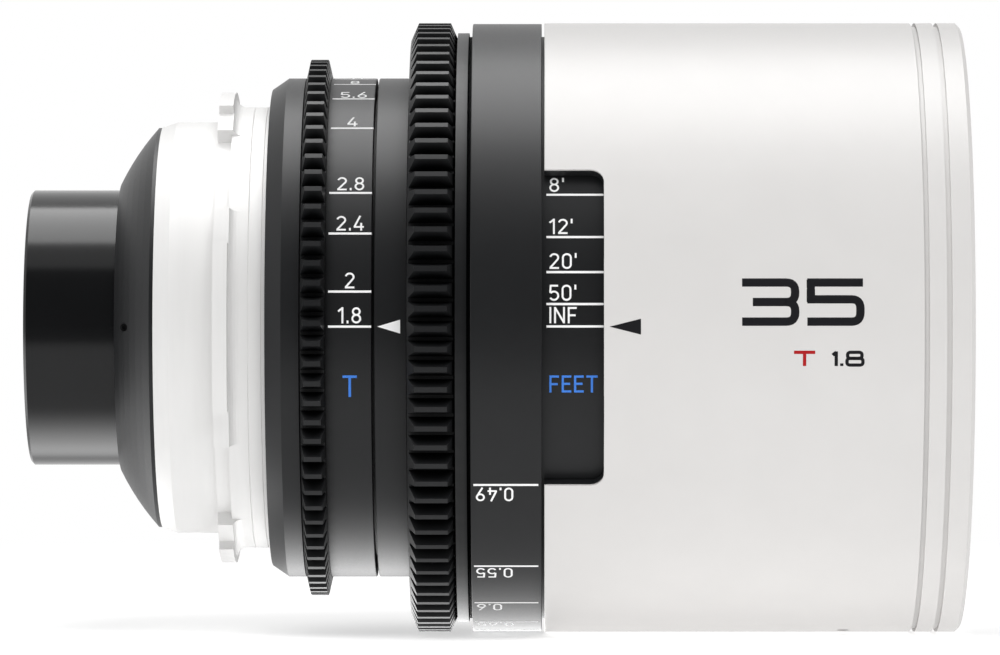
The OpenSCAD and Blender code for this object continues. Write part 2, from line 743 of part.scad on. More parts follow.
module iris_ring() {
  bore_r = journal_r + run_gap;
  color(black) difference() {
    turned(concat([[bore_r, x_iris]], rim_outline(iris_teeth, x_iris, iris_gear_w, iris_gear_slope),
      [[body_r, x_iris_band], [body_r, x_iris_end - edge_bevel], [body_r - edge_bevel, x_iris_end],
      [bore_r, x_iris_end]]));
    gear_gaps(iris_teeth, iris_tooth_angle, x_iris, iris_gear_w, iris_gear_slope);
    rod(x_iris_pin, iris_pin_angle, bore_r - past, bore_r + iris_pin_hold,
      iris_pin_d + 2 * seat_gap);
  }
}

module iris_drive_pin() {
  color(steel) rod(x_iris_pin, iris_pin_angle, plate_r - iris_pin_hold + seat_gap,
    journal_r + run_gap + iris_pin_hold - seat_gap, iris_pin_d);
}

module iris_base_plate() {
  color(black) difference() {
    tube(cam_plate_r, pocket_r - seat_gap, x_pocket, x_pocket + base_plate_thick);
    around(blade_count, 0) pin(pivot_r, 0, x_pocket - past, x_pocket + base_plate_thick + past,
      blade_pin_d + 2 * run_gap);
  }
}

// The part of a flat ring between two angles
module ring_piece(r_in, r_out, a0, a1) {
  reach = 2 * r_out;
  intersection() {
    difference() {
      circle(r_out);
      circle(r_in);
    }
    polygon([[0, 0], polar(reach, a0), polar(reach, (a0 + a1) / 2), polar(reach, a1)]);
  }
}

// A curved blade and the arm that holds its two pins
module blade_outline() {
  ring_piece(aperture_r, blade_r, blade_start, blade_span);
  ring_piece(blade_r - arm_r, pivot_r, 0, drive_angle);
  translate(polar(pivot_r, 0)) circle(arm_r);
  translate(polar(drive_r, drive_angle)) circle(arm_r);
}

// Blades lie one in front of another, each with a pivot pin behind and a drive pin in front
module iris_blade(number) {
  x0 = x_blades + (number - 1) * blade_pitch;
  middle = x0 + blade_thick / 2;
  color(steel) rotate([(number - 1) * blade_step, 0, 0]) {
    along_x() translate([0, 0, x0]) linear_extrude(blade_thick) blade_outline();
    pin(pivot_r, 0, x_pocket + blade_gap, middle, blade_pin_d);
    pin(drive_r, drive_angle, middle, x_cam_plate + groove_depth - blade_gap, blade_pin_d);
  }
}

// Path of a drive pin as the cam plate sees it, from the widest stop at 0 to the smallest at 1
pivot_point = [pivot_r, 0];
function drive_at(t) =
  pivot_point + spin(polar(drive_r, drive_angle) - pivot_point, blade_swing * t);
function groove_at(t) = spin(drive_at(t), -iris_throw * t);
function groove_side(t, side) = let (run = groove_at(t + groove_step) - groove_at(t - groove_step))
  groove_at(t) + side * groove_w / 2 * [-run[1], run[0]] / norm(run);
groove_steps = 22;
groove_step = 1 / groove_steps;
groove_outline = concat([for (i = [-1 : groove_steps + 1]) groove_side(i * groove_step, 1)],
  [for (i = [groove_steps + 1 : -1 : -1]) groove_side(i * groove_step, -1)]);

module iris_cam_plate() {
  color(brass) difference() {
    tube(cam_plate_r, plate_r, x_cam_plate, x_cam_plate + cam_plate_thick);
    around(blade_count, 0) along_x() translate([0, 0, x_cam_plate - past])
      linear_extrude(groove_depth + past) polygon(groove_outline);
    rod(x_iris_pin, iris_pin_angle, plate_r - iris_pin_hold, plate_r + past,
      iris_pin_d + 2 * seat_gap);
  }
}

module iris_retaining_ring() {
  color(black) keeper(drive_r, pocket_r - seat_gap, x_iris_keeper, x_pocket_end, true);
}

module drum_screw_holes(d) {
  around(drum_screw_count, 0) pin(drum_screw_circle, 0, x_drum - drum_screw_depth,
    x_drum + drum_flange_thick + past, d);
}

module dowel_holes(d) {
  around(roller_count, dowel_angle) pin(dowel_r, 0, x_cam_flange - dowel_depth, x_drum + past, d);
}

module focus_ring() {
  washer_bore_r = washer_r + keeper_clear;
  color(black) difference() {
    turned(concat([[washer_bore_r, x_focus]],
      rim_outline(focus_teeth, x_focus, focus_gear_w, focus_gear_slope),
      [[focus_neck_r, x_focus_neck], [focus_neck_r, x_focus_groove],
      [focus_groove_r, x_focus_groove], [focus_groove_r, x_focus_band],
      [focus_band_r - edge_bevel, x_focus_band], [focus_band_r, x_focus_band + edge_bevel],
      [focus_band_r, x_focus_end - edge_bevel], [focus_band_r - edge_bevel, x_focus_end],
      [drum_r + seat_gap, x_focus_end], [drum_r + seat_gap, x_drum],
      [cam_flange_r + seat_gap, x_drum], [cam_flange_r + seat_gap, x_cam_flange],
      [focus_bore_r, x_cam_flange], [focus_bore_r, x_cam], [washer_bore_r, x_cam]]));
    gear_gaps(focus_teeth, focus_tooth_angle, x_focus, focus_gear_w, focus_gear_slope);
    drum_screw_holes(drum_screw_d + 2 * seat_gap);
    dowel_holes(dowel_d + 2 * seat_gap);
  }
}

module distance_drum() {
  x_skin = x_drum + drum_flange_thick;
  color(black) difference() {
    turned([[drum_flange_r, x_drum], [drum_r, x_drum], [drum_r, x_drum_end],
      [drum_inner_r, x_drum_end], [drum_inner_r, x_skin], [drum_flange_r, x_skin]]);
    drum_screw_holes(drum_screw_d + 2 * seat_gap);
  }
}

module drum_screws() {
  x_skin = x_drum + drum_flange_thick;
  color(steel) around(drum_screw_count, 0) {
    pin(drum_screw_circle, 0, x_drum - drum_screw_depth + seat_gap, x_skin, drum_screw_d);
    pin(drum_screw_circle, 0, x_skin, x_skin + drum_head_h, drum_head_d);
  }
}

// A helical slot through the cam sleeve; as the sleeve turns, it carries a roller forward
module cam_slot() {
  half_w = roller_d / 2 + slot_gap;
  r_in = cam_r - past;
  r_out = cam_outer_r + past;
  steps = 30;
  end_turn = asin(half_w / cam_r);
  lead = focus_travel / focus_throw;
  corners = [[r_in, -half_w], [r_in, half_w], [r_out, half_w], [r_out, -half_w]];
  points = [for (i = [0 : steps], c = corners)
    let (turn = -end_turn + (focus_throw + 2 * end_turn) * i / steps)
    [x_roller + lead * turn + c[1], c[0] * cos(-turn), c[0] * sin(-turn)]];
  walls = [for (i = [0 : steps - 1], k = [0 : 3])
    let (n = (k + 1) % 4, near = 4 * i, far = near + 4)
    each [[near + k, near + n, far + n], [near + k, far + n, far + k]]];
  polyhedron(points, concat([[3, 2, 1, 0], [for (k = [0 : 3]) 4 * steps + k]], walls));
}

module cam_sleeve() {
  color(brass) difference() {
    turned([[cam_r, x_cam], [cam_outer_r, x_cam], [cam_outer_r, x_cam_flange],
      [cam_flange_r, x_cam_flange], [cam_flange_r, x_drum], [cam_r, x_drum]]);
    around(roller_count, roller_angle) cam_slot();
    dowel_holes(dowel_d + 2 * seat_gap);
    pin(stop_r, stop_angle, x_cam_flange + side_gap, x_drum + past, stop_pin_d + 2 * seat_gap);
  }
}

module cam_dowels() {
  color(steel) around(roller_count, dowel_angle)
    pin(dowel_r, 0, x_cam_flange - dowel_depth + seat_gap, x_drum, dowel_d);
}

module focus_stop_pin() {
  color(steel) pin(stop_r, stop_angle, x_cam_flange + side_gap + seat_gap,
    x_focus_keeper + focus_keeper_thick - side_gap, stop_pin_d);
}

module rear_thrust_washer() {
  color(brass) tube(guide_outer_r + seat_gap, washer_r, x_index_end, x_rear_washer_end);
}

module front_thrust_washer() {
  color(brass) tube(guide_outer_r + seat_gap, stop_r - stop_pin_d / 2 - keeper_clear,
    x_front_washer, x_focus_keeper);
}

module focus_retaining_ring() {
  slot_half_w = stop_pin_d / 2 + slot_gap;
  color(black) difference() {
    tube(guide_outer_r + seat_gap, focus_keeper_r, x_focus_keeper,
      x_focus_keeper + focus_keeper_thick);
    sector(stop_r - slot_half_w, stop_r + slot_half_w, x_focus_keeper - past,
      x_focus_keeper + focus_keeper_thick + past, stop_angle - focus_stop_half,
      stop_angle + focus_throw + focus_stop_half);
  }
}

module focus_cell() {
  color(black) difference() {
    turned([[focus_glass_r - spacer_wall, x_cell], [cell_r, x_cell], [cell_r, x_cell_end],
      [cell_bore_r, x_cell_end], [cell_bore_r, x_cell + seat_lip],
      [focus_glass_r - spacer_wall, x_cell + seat_lip]]);
    around(roller_count, roller_angle) rod(x_roller, 0, cell_r - roller_screw_depth,
      cell_r + past, roller_screw_d + 2 * seat_gap);
  }
}

module cam_rollers() {
  color(brass) around(roller_count, roller_angle) difference() {
    rod(x_roller, 0, cell_r + seat_gap, roller_top_r, roller_d);
    rod(x_roller, 0, cell_r - past, roller_top_r + past, roller_screw_d + 2 * seat_gap);
    rod(x_roller, 0, roller_top_r - roller_head_h, roller_top_r + past,
      roller_head_d + 2 * seat_gap);
  }
}

module roller_screws() {
  color(steel) around(roller_count, roller_angle) {
    rod(x_roller, 0, cell_r - roller_screw_depth + seat_gap, roller_top_r, roller_screw_d);
    rod(x_roller, 0, roller_top_r - roller_head_h, roller_top_r, roller_head_d);
  }
}

module focus_rear_element() {
  element(focus_glass_r, x_focus_rear_glass, x_focus_spacer, focus_rear_face_bulge);
}

module focus_spacer() {
  color(black) tube(focus_glass_r - spacer_wall, focus_glass_r, x_focus_spacer,
    x_focus_front_glass);
}

module focus_front_element() {
  element(focus_glass_r, x_focus_front_glass, x_focus_keeper_ring, focus_front_face_bulge);
}

module focus_cell_retainer() {
  color(black) keeper(focus_glass_r - spacer_wall, focus_glass_r, x_focus_keeper_ring,
    x_cell_end - ring_inset, true);
}

// A cut straight towards the axis, on the reading side and turned about the axis
module milled(turn, outline) {
  floor_y = window_r * cos(window_half_angle) - past;
  rotate([turn, 0, 0]) translate([0, -floor_y, 0]) rotate([quarter, 0, 0])
    linear_extrude(front_r + past - floor_y) polygon(outline);
}

// The window in the barrel's rear edge: its upper and lower ends are milled towards the axis
module distance_window() {
  half_h = front_r * sin(window_half_angle);
  end_h = half_h / 2 + 2 * past;
  middle_h = half_h / 2 + past;
  x_open = x_barrel - past;
  x_middle_end = x_window_end - seat_gap;
  corner_turn = 15;
  corner_middle = [x_window_end - window_corner, -window_corner];
  corner = [for (a = [0 : corner_turn : quarter])
    corner_middle + window_corner * [sin(a), cos(a)]];
  upper = concat([[x_open, -end_h], [x_open, 0]], corner, [[x_window_end, -end_h]]);
  lower = [for (i = [len(upper) - 1 : -1 : 0]) [upper[i][0], -upper[i][1]]];
  milled(-window_half_angle, upper);
  milled(window_half_angle, lower);
  milled(0, [[x_open, -middle_h], [x_open, middle_h], [x_middle_end, middle_h],
    [x_middle_end, -middle_h]]);
}

module front_barrel() {
  color(white) difference() {
    turned([[window_r, x_barrel], [front_r - edge_bevel, x_barrel],
      [front_r, x_barrel + edge_bevel], [front_r, x_barrel_end - edge_bevel],
      [front_r - edge_bevel, x_barrel_end], [skirt_r + seat_gap, x_barrel_end],
      [skirt_r + seat_gap, x_skirt - keeper_clear], [cell_seat_r, x_skirt - keeper_clear],
      [cell_seat_r, x_web_end], [guide_outer_r + seat_gap, x_web_end],
      [guide_outer_r + seat_gap, x_web], [window_r, x_web]]);
    distance_window();
    rod(x_barrel_end - grub_inset, grub_angle, cell_seat_r - past, front_r + past,
      grub_d + 2 * seat_gap);
  }
}

module barrel_grub_screw() {
  color(steel) rod(x_barrel_end - grub_inset, grub_angle, front_cell_r + seat_gap,
    front_r - grub_sink, grub_d);
}

module front_ring() {
  groove_r = front_r - ring_groove_depth;
  x_joint = x_barrel_end + joint_groove_w;
  x_second = x_barrel_end + second_groove_at;
  x_thread = x_front - filter_depth;
  color(white) turned([[skirt_inner_r, x_skirt], [skirt_r, x_skirt], [skirt_r, x_barrel_end],
    [groove_r, x_barrel_end], [groove_r, x_joint], [front_r, x_joint], [front_r, x_second],
    [groove_r, x_second], [groove_r, x_second + second_groove_w],
    [front_r, x_second + second_groove_w], [front_r, x_front - rim_bevel],
    [front_r - rim_bevel, x_front], [filter_r + edge_bevel, x_front],
    [filter_r, x_front - edge_bevel], [filter_r, x_thread], [skirt_inner_r, x_thread]]);
}

module front_cell() {
  opening_r = inner_glass_r - spacer_wall;
  color(black) turned([[opening_r, x_web_end], [front_cell_r, x_web_end],
    [front_cell_r, x_front_cell_end], [front_glass_r + seat_gap, x_front_cell_end],
    [front_glass_r + seat_gap, x_front_glass], [baffle_r, x_front_glass], [baffle_r, x_baffle],
    [inner_glass_r + seat_gap, x_baffle], [inner_glass_r + seat_gap, x_inner_glass],
    [opening_r, x_inner_glass]]);
}

// Radius of a surface that is curved across the lens only, from its depth and half width
function bow_r(half_w, depth) = (half_w * half_w + depth * depth) / (2 * depth);

// A cylinder that stands upright, for the faces that are curved across the lens only
module upright(x, r, half_h) {
  translate([x, 0, -half_h]) cylinder(r = r, h = 2 * half_h, $fn = 3 * $fn);
}

module front_inner_element() {
  cap_r = inner_glass_r - glass_land;
  face_r = bow_r(cap_r, inner_face_bulge);
  color(glass) {
    tube(0, inner_glass_r, x_inner_glass, x_inner_keeper);
    intersection() {
      tube(0, cap_r, x_inner_glass - inner_face_bulge - past, x_inner_glass + past);
      upright(x_inner_glass - inner_face_bulge + face_r, face_r, inner_glass_r);
    }
  }
}

module front_inner_retainer() {
  color(black) keeper(inner_glass_r - spacer_wall, inner_glass_r, x_inner_keeper, x_baffle, true);
}

module front_baffle() {
  color(black) difference() {
    tube(0, baffle_r - seat_gap, x_baffle, x_baffle + baffle_thick);
    along_x() translate([0, 0, x_baffle - past]) linear_extrude(baffle_thick + 2 * past)
      intersection() {
        square(2 * [baffle_r - baffle_side, baffle_r - baffle_top], center = true);
        circle(baffle_r - baffle_rim);
      }
  }
}

module front_element() {
  face_r = bow_r(front_glass_r - glass_land, front_glass_hollow);
  color(glass) difference() {
    tube(0, front_glass_r, x_front_glass, x_front_keeper);
    upright(x_front_keeper - front_glass_hollow + face_r, face_r, front_glass_r + past);
  }
}

module front_retaining_ring() {
  color(black) keeper(front_glass_r - spacer_wall, front_glass_r, x_front_keeper,
    x_front_cell_end - ring_inset, true);
}

rear_tube();
rear_cone();
cone_grub_screws();
mount_flange();
mount_base_ring();
mount_shim();
mount_screws();
rear_retaining_ring();
rear_element();
rear_spacer();
rear_middle_element();
rear_inner_spacer();
rear_front_element();
centre_barrel();
rear_collar();
iris_ring();
iris_drive_pin();
iris_base_plate();
iris_cam_plate();
iris_retaining_ring();
for (k = [1 : blade_count])
  iris_blade(k);
focus_ring();
distance_drum();
drum_screws();
cam_sleeve();
cam_dowels();
focus_stop_pin();
rear_thrust_washer();
front_thrust_washer();
focus_retaining_ring();
focus_cell();
cam_rollers();
roller_screws();
focus_rear_element();
focus_spacer();
focus_front_element();
focus_cell_retainer();
front_barrel();
barrel_grub_screw();
front_ring();
front_cell();
front_inner_element();
front_inner_retainer();
front_baffle();
front_element();
front_retaining_ring();
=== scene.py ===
"""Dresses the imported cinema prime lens: finishes, scales, figures, small parts and a studio stage."""
import json
import math

import bpy
from bpy.props import FloatProperty, FloatVectorProperty, PointerProperty
from bpy.types import Operator, Panel, PropertyGroup
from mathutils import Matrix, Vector


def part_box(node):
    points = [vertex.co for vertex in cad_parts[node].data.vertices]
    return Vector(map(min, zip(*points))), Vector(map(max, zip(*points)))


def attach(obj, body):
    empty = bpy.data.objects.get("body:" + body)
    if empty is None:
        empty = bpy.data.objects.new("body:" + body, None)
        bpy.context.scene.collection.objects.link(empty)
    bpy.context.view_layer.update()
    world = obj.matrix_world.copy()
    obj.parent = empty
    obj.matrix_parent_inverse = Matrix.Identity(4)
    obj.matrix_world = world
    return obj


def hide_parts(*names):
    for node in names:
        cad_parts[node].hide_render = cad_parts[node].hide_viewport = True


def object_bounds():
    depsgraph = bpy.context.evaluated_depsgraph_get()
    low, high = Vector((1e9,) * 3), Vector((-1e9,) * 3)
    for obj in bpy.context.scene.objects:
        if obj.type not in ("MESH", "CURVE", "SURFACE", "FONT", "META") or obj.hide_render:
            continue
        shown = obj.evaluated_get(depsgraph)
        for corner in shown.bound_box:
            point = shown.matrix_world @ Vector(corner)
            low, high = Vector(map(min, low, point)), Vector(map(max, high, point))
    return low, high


bl_info = {
    "name": "Cinema prime lens",
    "version": (1, 0, 0),
    "blender": (4, 5, 0),
    "location": "3D View > Sidebar > Lens",
    "description": "Finishes, scales and studio of a cinema prime lens",
    "category": "Object",
}

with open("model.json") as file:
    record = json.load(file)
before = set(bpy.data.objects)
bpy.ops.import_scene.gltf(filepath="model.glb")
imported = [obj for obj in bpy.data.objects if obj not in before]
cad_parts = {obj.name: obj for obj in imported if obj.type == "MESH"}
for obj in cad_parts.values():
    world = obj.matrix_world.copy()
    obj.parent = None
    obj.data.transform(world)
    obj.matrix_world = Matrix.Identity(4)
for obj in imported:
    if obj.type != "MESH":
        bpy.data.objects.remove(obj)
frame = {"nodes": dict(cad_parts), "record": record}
CAD_BOX = [list(corner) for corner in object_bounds()]

MM = 0.001

# Radii of the skins that carry marks, from the solids; the focus ring's band lies a little low
BARREL_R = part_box("front_barrel")[1].z
BODY_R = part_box("rear_collar")[1].z
DRUM_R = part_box("distance_drum")[1].z
BAND_R = BARREL_R - 0.1 * MM

# Places along the axis, from the solids
MOUNT_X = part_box("rear_cone")[1].x
COLLAR_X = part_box("rear_collar")[0].x
IRIS_END_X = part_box("iris_ring")[1].x
FOCUS_END_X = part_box("focus_ring")[1].x
BARREL_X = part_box("front_barrel")[0].x
BARREL_END_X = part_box("front_barrel")[1].x
FRONT_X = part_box("front_ring")[1].x

# Stop numbers and their angles from the widest stop, in degrees
STOPS = (("1.8", 0.0), ("2", 7.8), ("2.4", 21.2), ("2.8", 31.4), ("4", 51.3), ("5.6", 64.5),
         ("8", 75.2), ("11", 83.5), ("16", 91.0))
STOP_INDEX_ANGLE = 0.2

# Distances on the two focus scales, in feet and in metres
FEET = (("50'", 50.0), ("20'", 20.0), ("12'", 12.0), ("8'", 8.0), ("6'", 6.0), ("5'", 5.0),
        ("4'", 4.0), ("3'6\"", 3.5), ("3'", 3.0), ("2'6\"", 2.5), ("2'3\"", 2.25), ("2'", 2.0),
        ("1'10\"", 1.833), ("1'8\"", 1.667))
METRES = (("15", 15.0), ("7", 7.0), ("4", 4.0), ("3", 3.0), ("2", 2.0), ("1.5", 1.5),
          ("1.2", 1.2), ("1", 1.0), ("0.9", 0.9), ("0.8", 0.8), ("0.7", 0.7), ("0.65", 0.65),
          ("0.6", 0.6), ("0.55", 0.55), ("0.49", 0.49))
FOOT = 0.3048

# Degrees on the focus scales for each power of 1 / metres, and the infinity mark with its angle
FOCUS_LAW = (0.4, 61.35, 2.5, 1.65)
INFINITY = ("INF", 0.2)

# Half a turn, from the near side to the far one
FAR_SIDE = 180.0


def focus_angle(metres):
    """Angle of a distance from infinity on the focus scales, in degrees."""
    return sum(term / metres ** power for power, term in enumerate(FOCUS_LAW))


class LensColours(PropertyGroup):
    """Colours of the finishes and the marks"""
    barrel_white: FloatVectorProperty(
        name="Barrel", description="Blasted white of the front barrel", subtype="COLOR",
        default=(0.67, 0.657, 0.646), min=0.0, max=1.0)
    ring_black: FloatVectorProperty(
        name="Rings", description="Black anodised rings", subtype="COLOR",
        default=(0.013, 0.0135, 0.0145), min=0.0, max=1.0)
    mount_silver: FloatVectorProperty(
        name="Mount", description="Satin steel of the mount", subtype="COLOR",
        default=(0.79, 0.785, 0.777), min=0.0, max=1.0)
    glass_coating: FloatVectorProperty(
        name="Glass coating", description="Share of a bare glass's reflection that the coating leaves",
        subtype="COLOR", default=(0.05, 0.085, 0.12), min=0.0, max=1.0)
    mark_white: FloatVectorProperty(
        name="Marks", description="White paint of the scales", subtype="COLOR",
        default=(0.95, 0.95, 0.95), min=0.0, max=1.0)
    mark_blue: FloatVectorProperty(
        name="Unit words", description="Blue paint of the units", subtype="COLOR",
        default=(0.06, 0.22, 0.72), min=0.0, max=1.0)
    mark_red: FloatVectorProperty(
        name="Stop letter", description="Red paint on the barrel", subtype="COLOR",
        default=(0.40, 0.012, 0.014), min=0.0, max=1.0)
    mark_black: FloatVectorProperty(
        name="Figures", description="Black paint on the barrel", subtype="COLOR",
        default=(0.012, 0.012, 0.014), min=0.0, max=1.0)


class LensSizes(PropertyGroup):
    """Sizes of the marks"""
    line_width: FloatProperty(
        name="Line width", description="Width of a scale line", unit="LENGTH", default=0.29 * MM)
    digit_height: FloatProperty(
        name="Digit height", description="Height of the scale digits", unit="LENGTH",
        default=2.05 * MM)
    digit_stroke: FloatProperty(
        name="Digit stroke", description="Width of the scale digits' strokes", unit="LENGTH",
        default=0.25 * MM)
    proud: FloatProperty(
        name="Paint height", description="Height of the paint above its skin", unit="LENGTH",
        default=0.02 * MM)
    sunk: FloatProperty(
        name="Engraving", description="Depth of the paint below its skin", unit="LENGTH",
        default=0.12 * MM)
    figure_height: FloatProperty(
        name="Figure height", description="Height of the focal length figures", unit="LENGTH",
        default=6.0 * MM)
    figure_stroke: FloatProperty(
        name="Figure stroke", description="Width of the focal length's strokes", unit="LENGTH",
        default=1.06 * MM)


def colours():
    return bpy.context.scene.lens_colours


def sizes():
    return bpy.context.scene.lens_sizes


# Modelling helpers

def deselect():
    if bpy.context.object is not None and bpy.context.object.mode != "OBJECT":
        bpy.ops.object.mode_set(mode="OBJECT")
    bpy.ops.object.select_all(action="DESELECT")


def activate(piece):
    deselect()
    piece.select_set(True)
    bpy.context.view_layer.objects.active = piece


def settle(piece, name):
    """Puts a piece's place into its mesh and names it."""
    activate(piece)
    bpy.ops.object.transform_apply(location=True, rotation=True, scale=True)
    piece.name = name
    piece.data.name = name
    return piece


def join(pieces, name):
    deselect()
    for piece in pieces:
        piece.select_set(True)
    bpy.context.view_layer.objects.active = pieces[0]
    if len(pieces) > 1:
        bpy.ops.object.join()
    return settle(pieces[0], name)


def dress(piece, finish, body):
    """Gives a new piece its finish, body and slot."""
    piece.data.materials.clear()
    piece.data.materials.append(finish)
    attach(piece, body)


def wrap(piece, radius, x, angle, turned_over=False):
    """Lays a flat piece on the skin of a given radius, at x and at an angle up from the near side."""
    sign = -1.0 if turned_over else 1.0
    for vertex in piece.data.vertices:
        along, around, out = vertex.co
        turn = math.radians(angle) + sign * around / radius
        reach = radius + out
        vertex.co = (x + sign * along, -reach * math.cos(turn), reach * math.sin(turn))
    piece.data.update()
    return piece


def paint_depth():
    return sizes().proud + sizes().sunk


def flat_bar(length, width):
    """A scale line that starts at the origin, with softened edges."""
    deselect()
    bpy.ops.mesh.primitive_cube_add(size=1.0)
    bar = bpy.context.object
    bar.dimensions = (length, width, paint_depth())
    bar.location = (length / 2, 0.0, sizes().proud - paint_depth() / 2)
    bpy.ops.object.transform_apply(location=True, rotation=True, scale=True)
    bpy.ops.object.mode_set(mode="EDIT")
    bpy.ops.mesh.select_all(action="SELECT")
    bpy.ops.mesh.bevel(offset=sizes().proud / 2, segments=1)
    bpy.ops.object.mode_set(mode="OBJECT")
    return bar


def flat_triangle(length, height):
    """An index mark with its tip at the origin, pointing backwards."""
    deselect()
    bpy.ops.mesh.primitive_cylinder_add(vertices=3, radius=1.0, depth=paint_depth())
    mark = bpy.context.object
    low = min(v.co.z for v in mark.data.vertices)
    corners = ((0.0, 0.0), (length, -height / 2), (length, height / 2))
    ring = sorted((v for v in mark.data.vertices if v.co.z == low),
                  key=lambda v: math.atan2(v.co.y, v.co.x))
    order = {round(math.atan2(v.co.y, v.co.x), 3): i for i, v in enumerate(ring)}
    for vertex in mark.data.vertices:
        corner = corners[order[round(math.atan2(vertex.co.y, vertex.co.x), 3)]]
        vertex.co.x, vertex.co.y = corner
        vertex.co.z += sizes().proud - paint_depth() / 2
    return mark


def arc(x, y, wide, high, start, end):
    """Points along a part of an ellipse, from one angle to another in degrees."""
    usual_step = 15.0
    fewest_steps = 4
    steps = max(fewest_steps, int(abs(end - start) / usual_step))
    turns = [math.radians(start + (end - start) * i / steps) for i in range(steps + 1)]
    return [(x + wide * math.cos(turn), y + high * math.sin(turn)) for turn in turns]


def between(first, second, share):
    """The point at a share of the way from one point to another."""
    return tuple(a + (b - a) * share for a, b in zip(first, second))


def rounded(corners, bend):
    """A line through corners that turns each of them in a bend."""
    steps = 6
    line = [corners[0]]
    for before, corner, after in zip(corners, corners[1:], corners[2:]):
        start = between(corner, before, bend / math.dist(corner, before))
        end = between(corner, after, bend / math.dist(corner, after))
        for step in range(steps + 1):
            share = step / steps
            line.append(between(between(start, corner, share), between(corner, end, share), share))
    line.append(corners[-1])
    return line


def finely(points, longest):
    """The same line with no step longer than a length, so that it can follow a round skin."""
    line = [points[0]]
    for first, second in zip(points, points[1:]):
        steps = max(1, math.ceil(math.dist(first, second) / longest))
        line += [between(first, second, i / steps) for i in range(1, steps + 1)]
    return line


# Centre lines of engraved characters in a box one high, as width and strokes
LOW = 0.0625
TOP = 1.0 - LOW
BOWL = 0.2175
OVAL = (arc(0.28, TOP - BOWL, BOWL, BOWL, 0, 180)
        + arc(0.28, LOW + BOWL, BOWL, BOWL, 180, 360))
OVAL.append(OVAL[0])
SIX = [arc(0.28, LOW + 0.2275, BOWL, 0.2275, 0, 360), [(0.41, 1.0), (0.095, 0.41)]]
STEM = [(LOW, 0.0), (LOW, 1.0)]
TICK = [(0.07, 1.0), (0.07, 0.7)]
POINT = (0.14, [[(0.07, 0.0), (0.07, 0.18)]])
CHARACTERS = {
    "0": (0.56, [OVAL]),
    "1": (0.34, [[(0.02, 0.74), (0.26, 0.95)], [(0.26, 1.0), (0.26, 0.0)]]),
    "2": (0.56, [arc(0.28, TOP - BOWL, BOWL, BOWL, 168, -38) + [(0.06, 0.08)],
                 [(0.02, LOW), (0.54, LOW)]]),
    "3": (0.54, [arc(0.26, TOP - 0.205, 0.2, 0.205, 150, -90)
                 + arc(0.26, LOW + 0.2325, BOWL, 0.2325, 90, -150)]),
    "4": (0.58, [[(0.36, 1.0), (0.04, 0.25)], [(0.01, 0.25), (0.57, 0.25)],
                 [(0.42, 0.52), (0.42, 0.0)]]),
    "5": (0.54, [[(0.49, TOP), (0.06, TOP)], [(0.085, 0.98), (0.06, 0.49)],
                 arc(0.265, LOW + 0.2575, 0.2325, 0.2575, 142, -150)]),
    "6": (0.56, SIX),
    "7": (0.54, [[(0.02, TOP), (0.53, TOP)], [(0.5, TOP), (0.18, 0.0)]]),
    "8": (0.56, [arc(0.28, TOP - 0.205, 0.19, 0.205, 0, 360),
                 arc(0.28, LOW + 0.2325, BOWL, 0.2325, 0, 360)]),
    "9": (0.56, [[(0.56 - x, 1.0 - y) for x, y in stroke] for stroke in SIX]),
    ".": POINT,
    "'": (0.14, [TICK]),
    '"': (0.36, [TICK, [(0.29, 1.0), (0.29, 0.7)]]),
    "E": (0.5, [STEM, [(LOW, TOP), (0.5, TOP)], [(LOW, 0.51), (0.44, 0.51)],
                [(LOW, LOW), (0.5, LOW)]]),
    "F": (0.5, [STEM, [(LOW, TOP), (0.5, TOP)], [(LOW, 0.49), (0.44, 0.49)]]),
    "I": (0.125, [STEM]),
    "M": (0.74, [STEM, [(0.675, 0.0), (0.675, 1.0)], [(LOW, 0.97), (0.37, 0.3)],
                 [(0.675, 0.97), (0.37, 0.3)]]),
    "N": (0.62, [STEM, [(0.555, 0.0), (0.555, 1.0)], [(LOW, 0.97), (0.555, 0.03)]]),
    "R": (0.56, [STEM, [(LOW, TOP)] + arc(0.3, TOP - 0.23, 0.2, 0.23, 90, -90) + [(LOW, TOP - 0.46)],
                 [(0.28, 0.48), (0.52, 0.0)]]),
    "S": (0.54, [arc(0.27, TOP - 0.215, 0.2, 0.215, 35, 270)
                 + arc(0.27, LOW + 0.2225, 0.21, 0.2225, 90, -145)]),
    "T": (0.58, [[(0.0, TOP), (0.58, TOP)], [(0.29, 1.0), (0.29, 0.0)]]),
}

# Wider characters of the barrel, with corners turned in a bend
BEND = 0.2
WIDE = {
    "1": (0.32, [[(0.02, 0.74), (0.24, 0.95)], [(0.24, 1.0), (0.24, 0.0)]]),
    "3": (1.27, [rounded([(0.0, TOP), (1.19, TOP), (1.19, 0.5), (0.24, 0.5)], BEND),
                 rounded([(0.975, 0.5), (1.19, 0.5), (1.19, LOW), (0.0, LOW)], BEND)]),
    "5": (1.27, [[(1.25, TOP), (0.0, TOP)], [(0.08, 1.0), (0.08, 0.5)],
                 rounded([(0.0, 0.56), (1.19, 0.56), (1.19, LOW), (0.0, LOW)], BEND)]),
    "8": (1.1, [rounded([(0.54, TOP), (0.98, TOP), (0.98, 0.52), (0.1, 0.52), (0.1, TOP),
                         (0.54, TOP)], 0.19),
                rounded([(0.54, 0.52), (1.04, 0.52), (1.04, LOW), (0.06, LOW), (0.06, 0.52),
                         (0.54, 0.52)], BEND)]),
    ".": POINT,
    "T": (1.3, [[(0.0, TOP), (1.3, TOP)], [(0.65, 1.0), (0.65, 0.0)]]),
}

# Width of the scale characters against the first table, and the gap between two of them
STRETCH = 1.12
SPACE = 0.15

# Gap between a scale line and its label
LABEL_GAP = 0.26 * MM


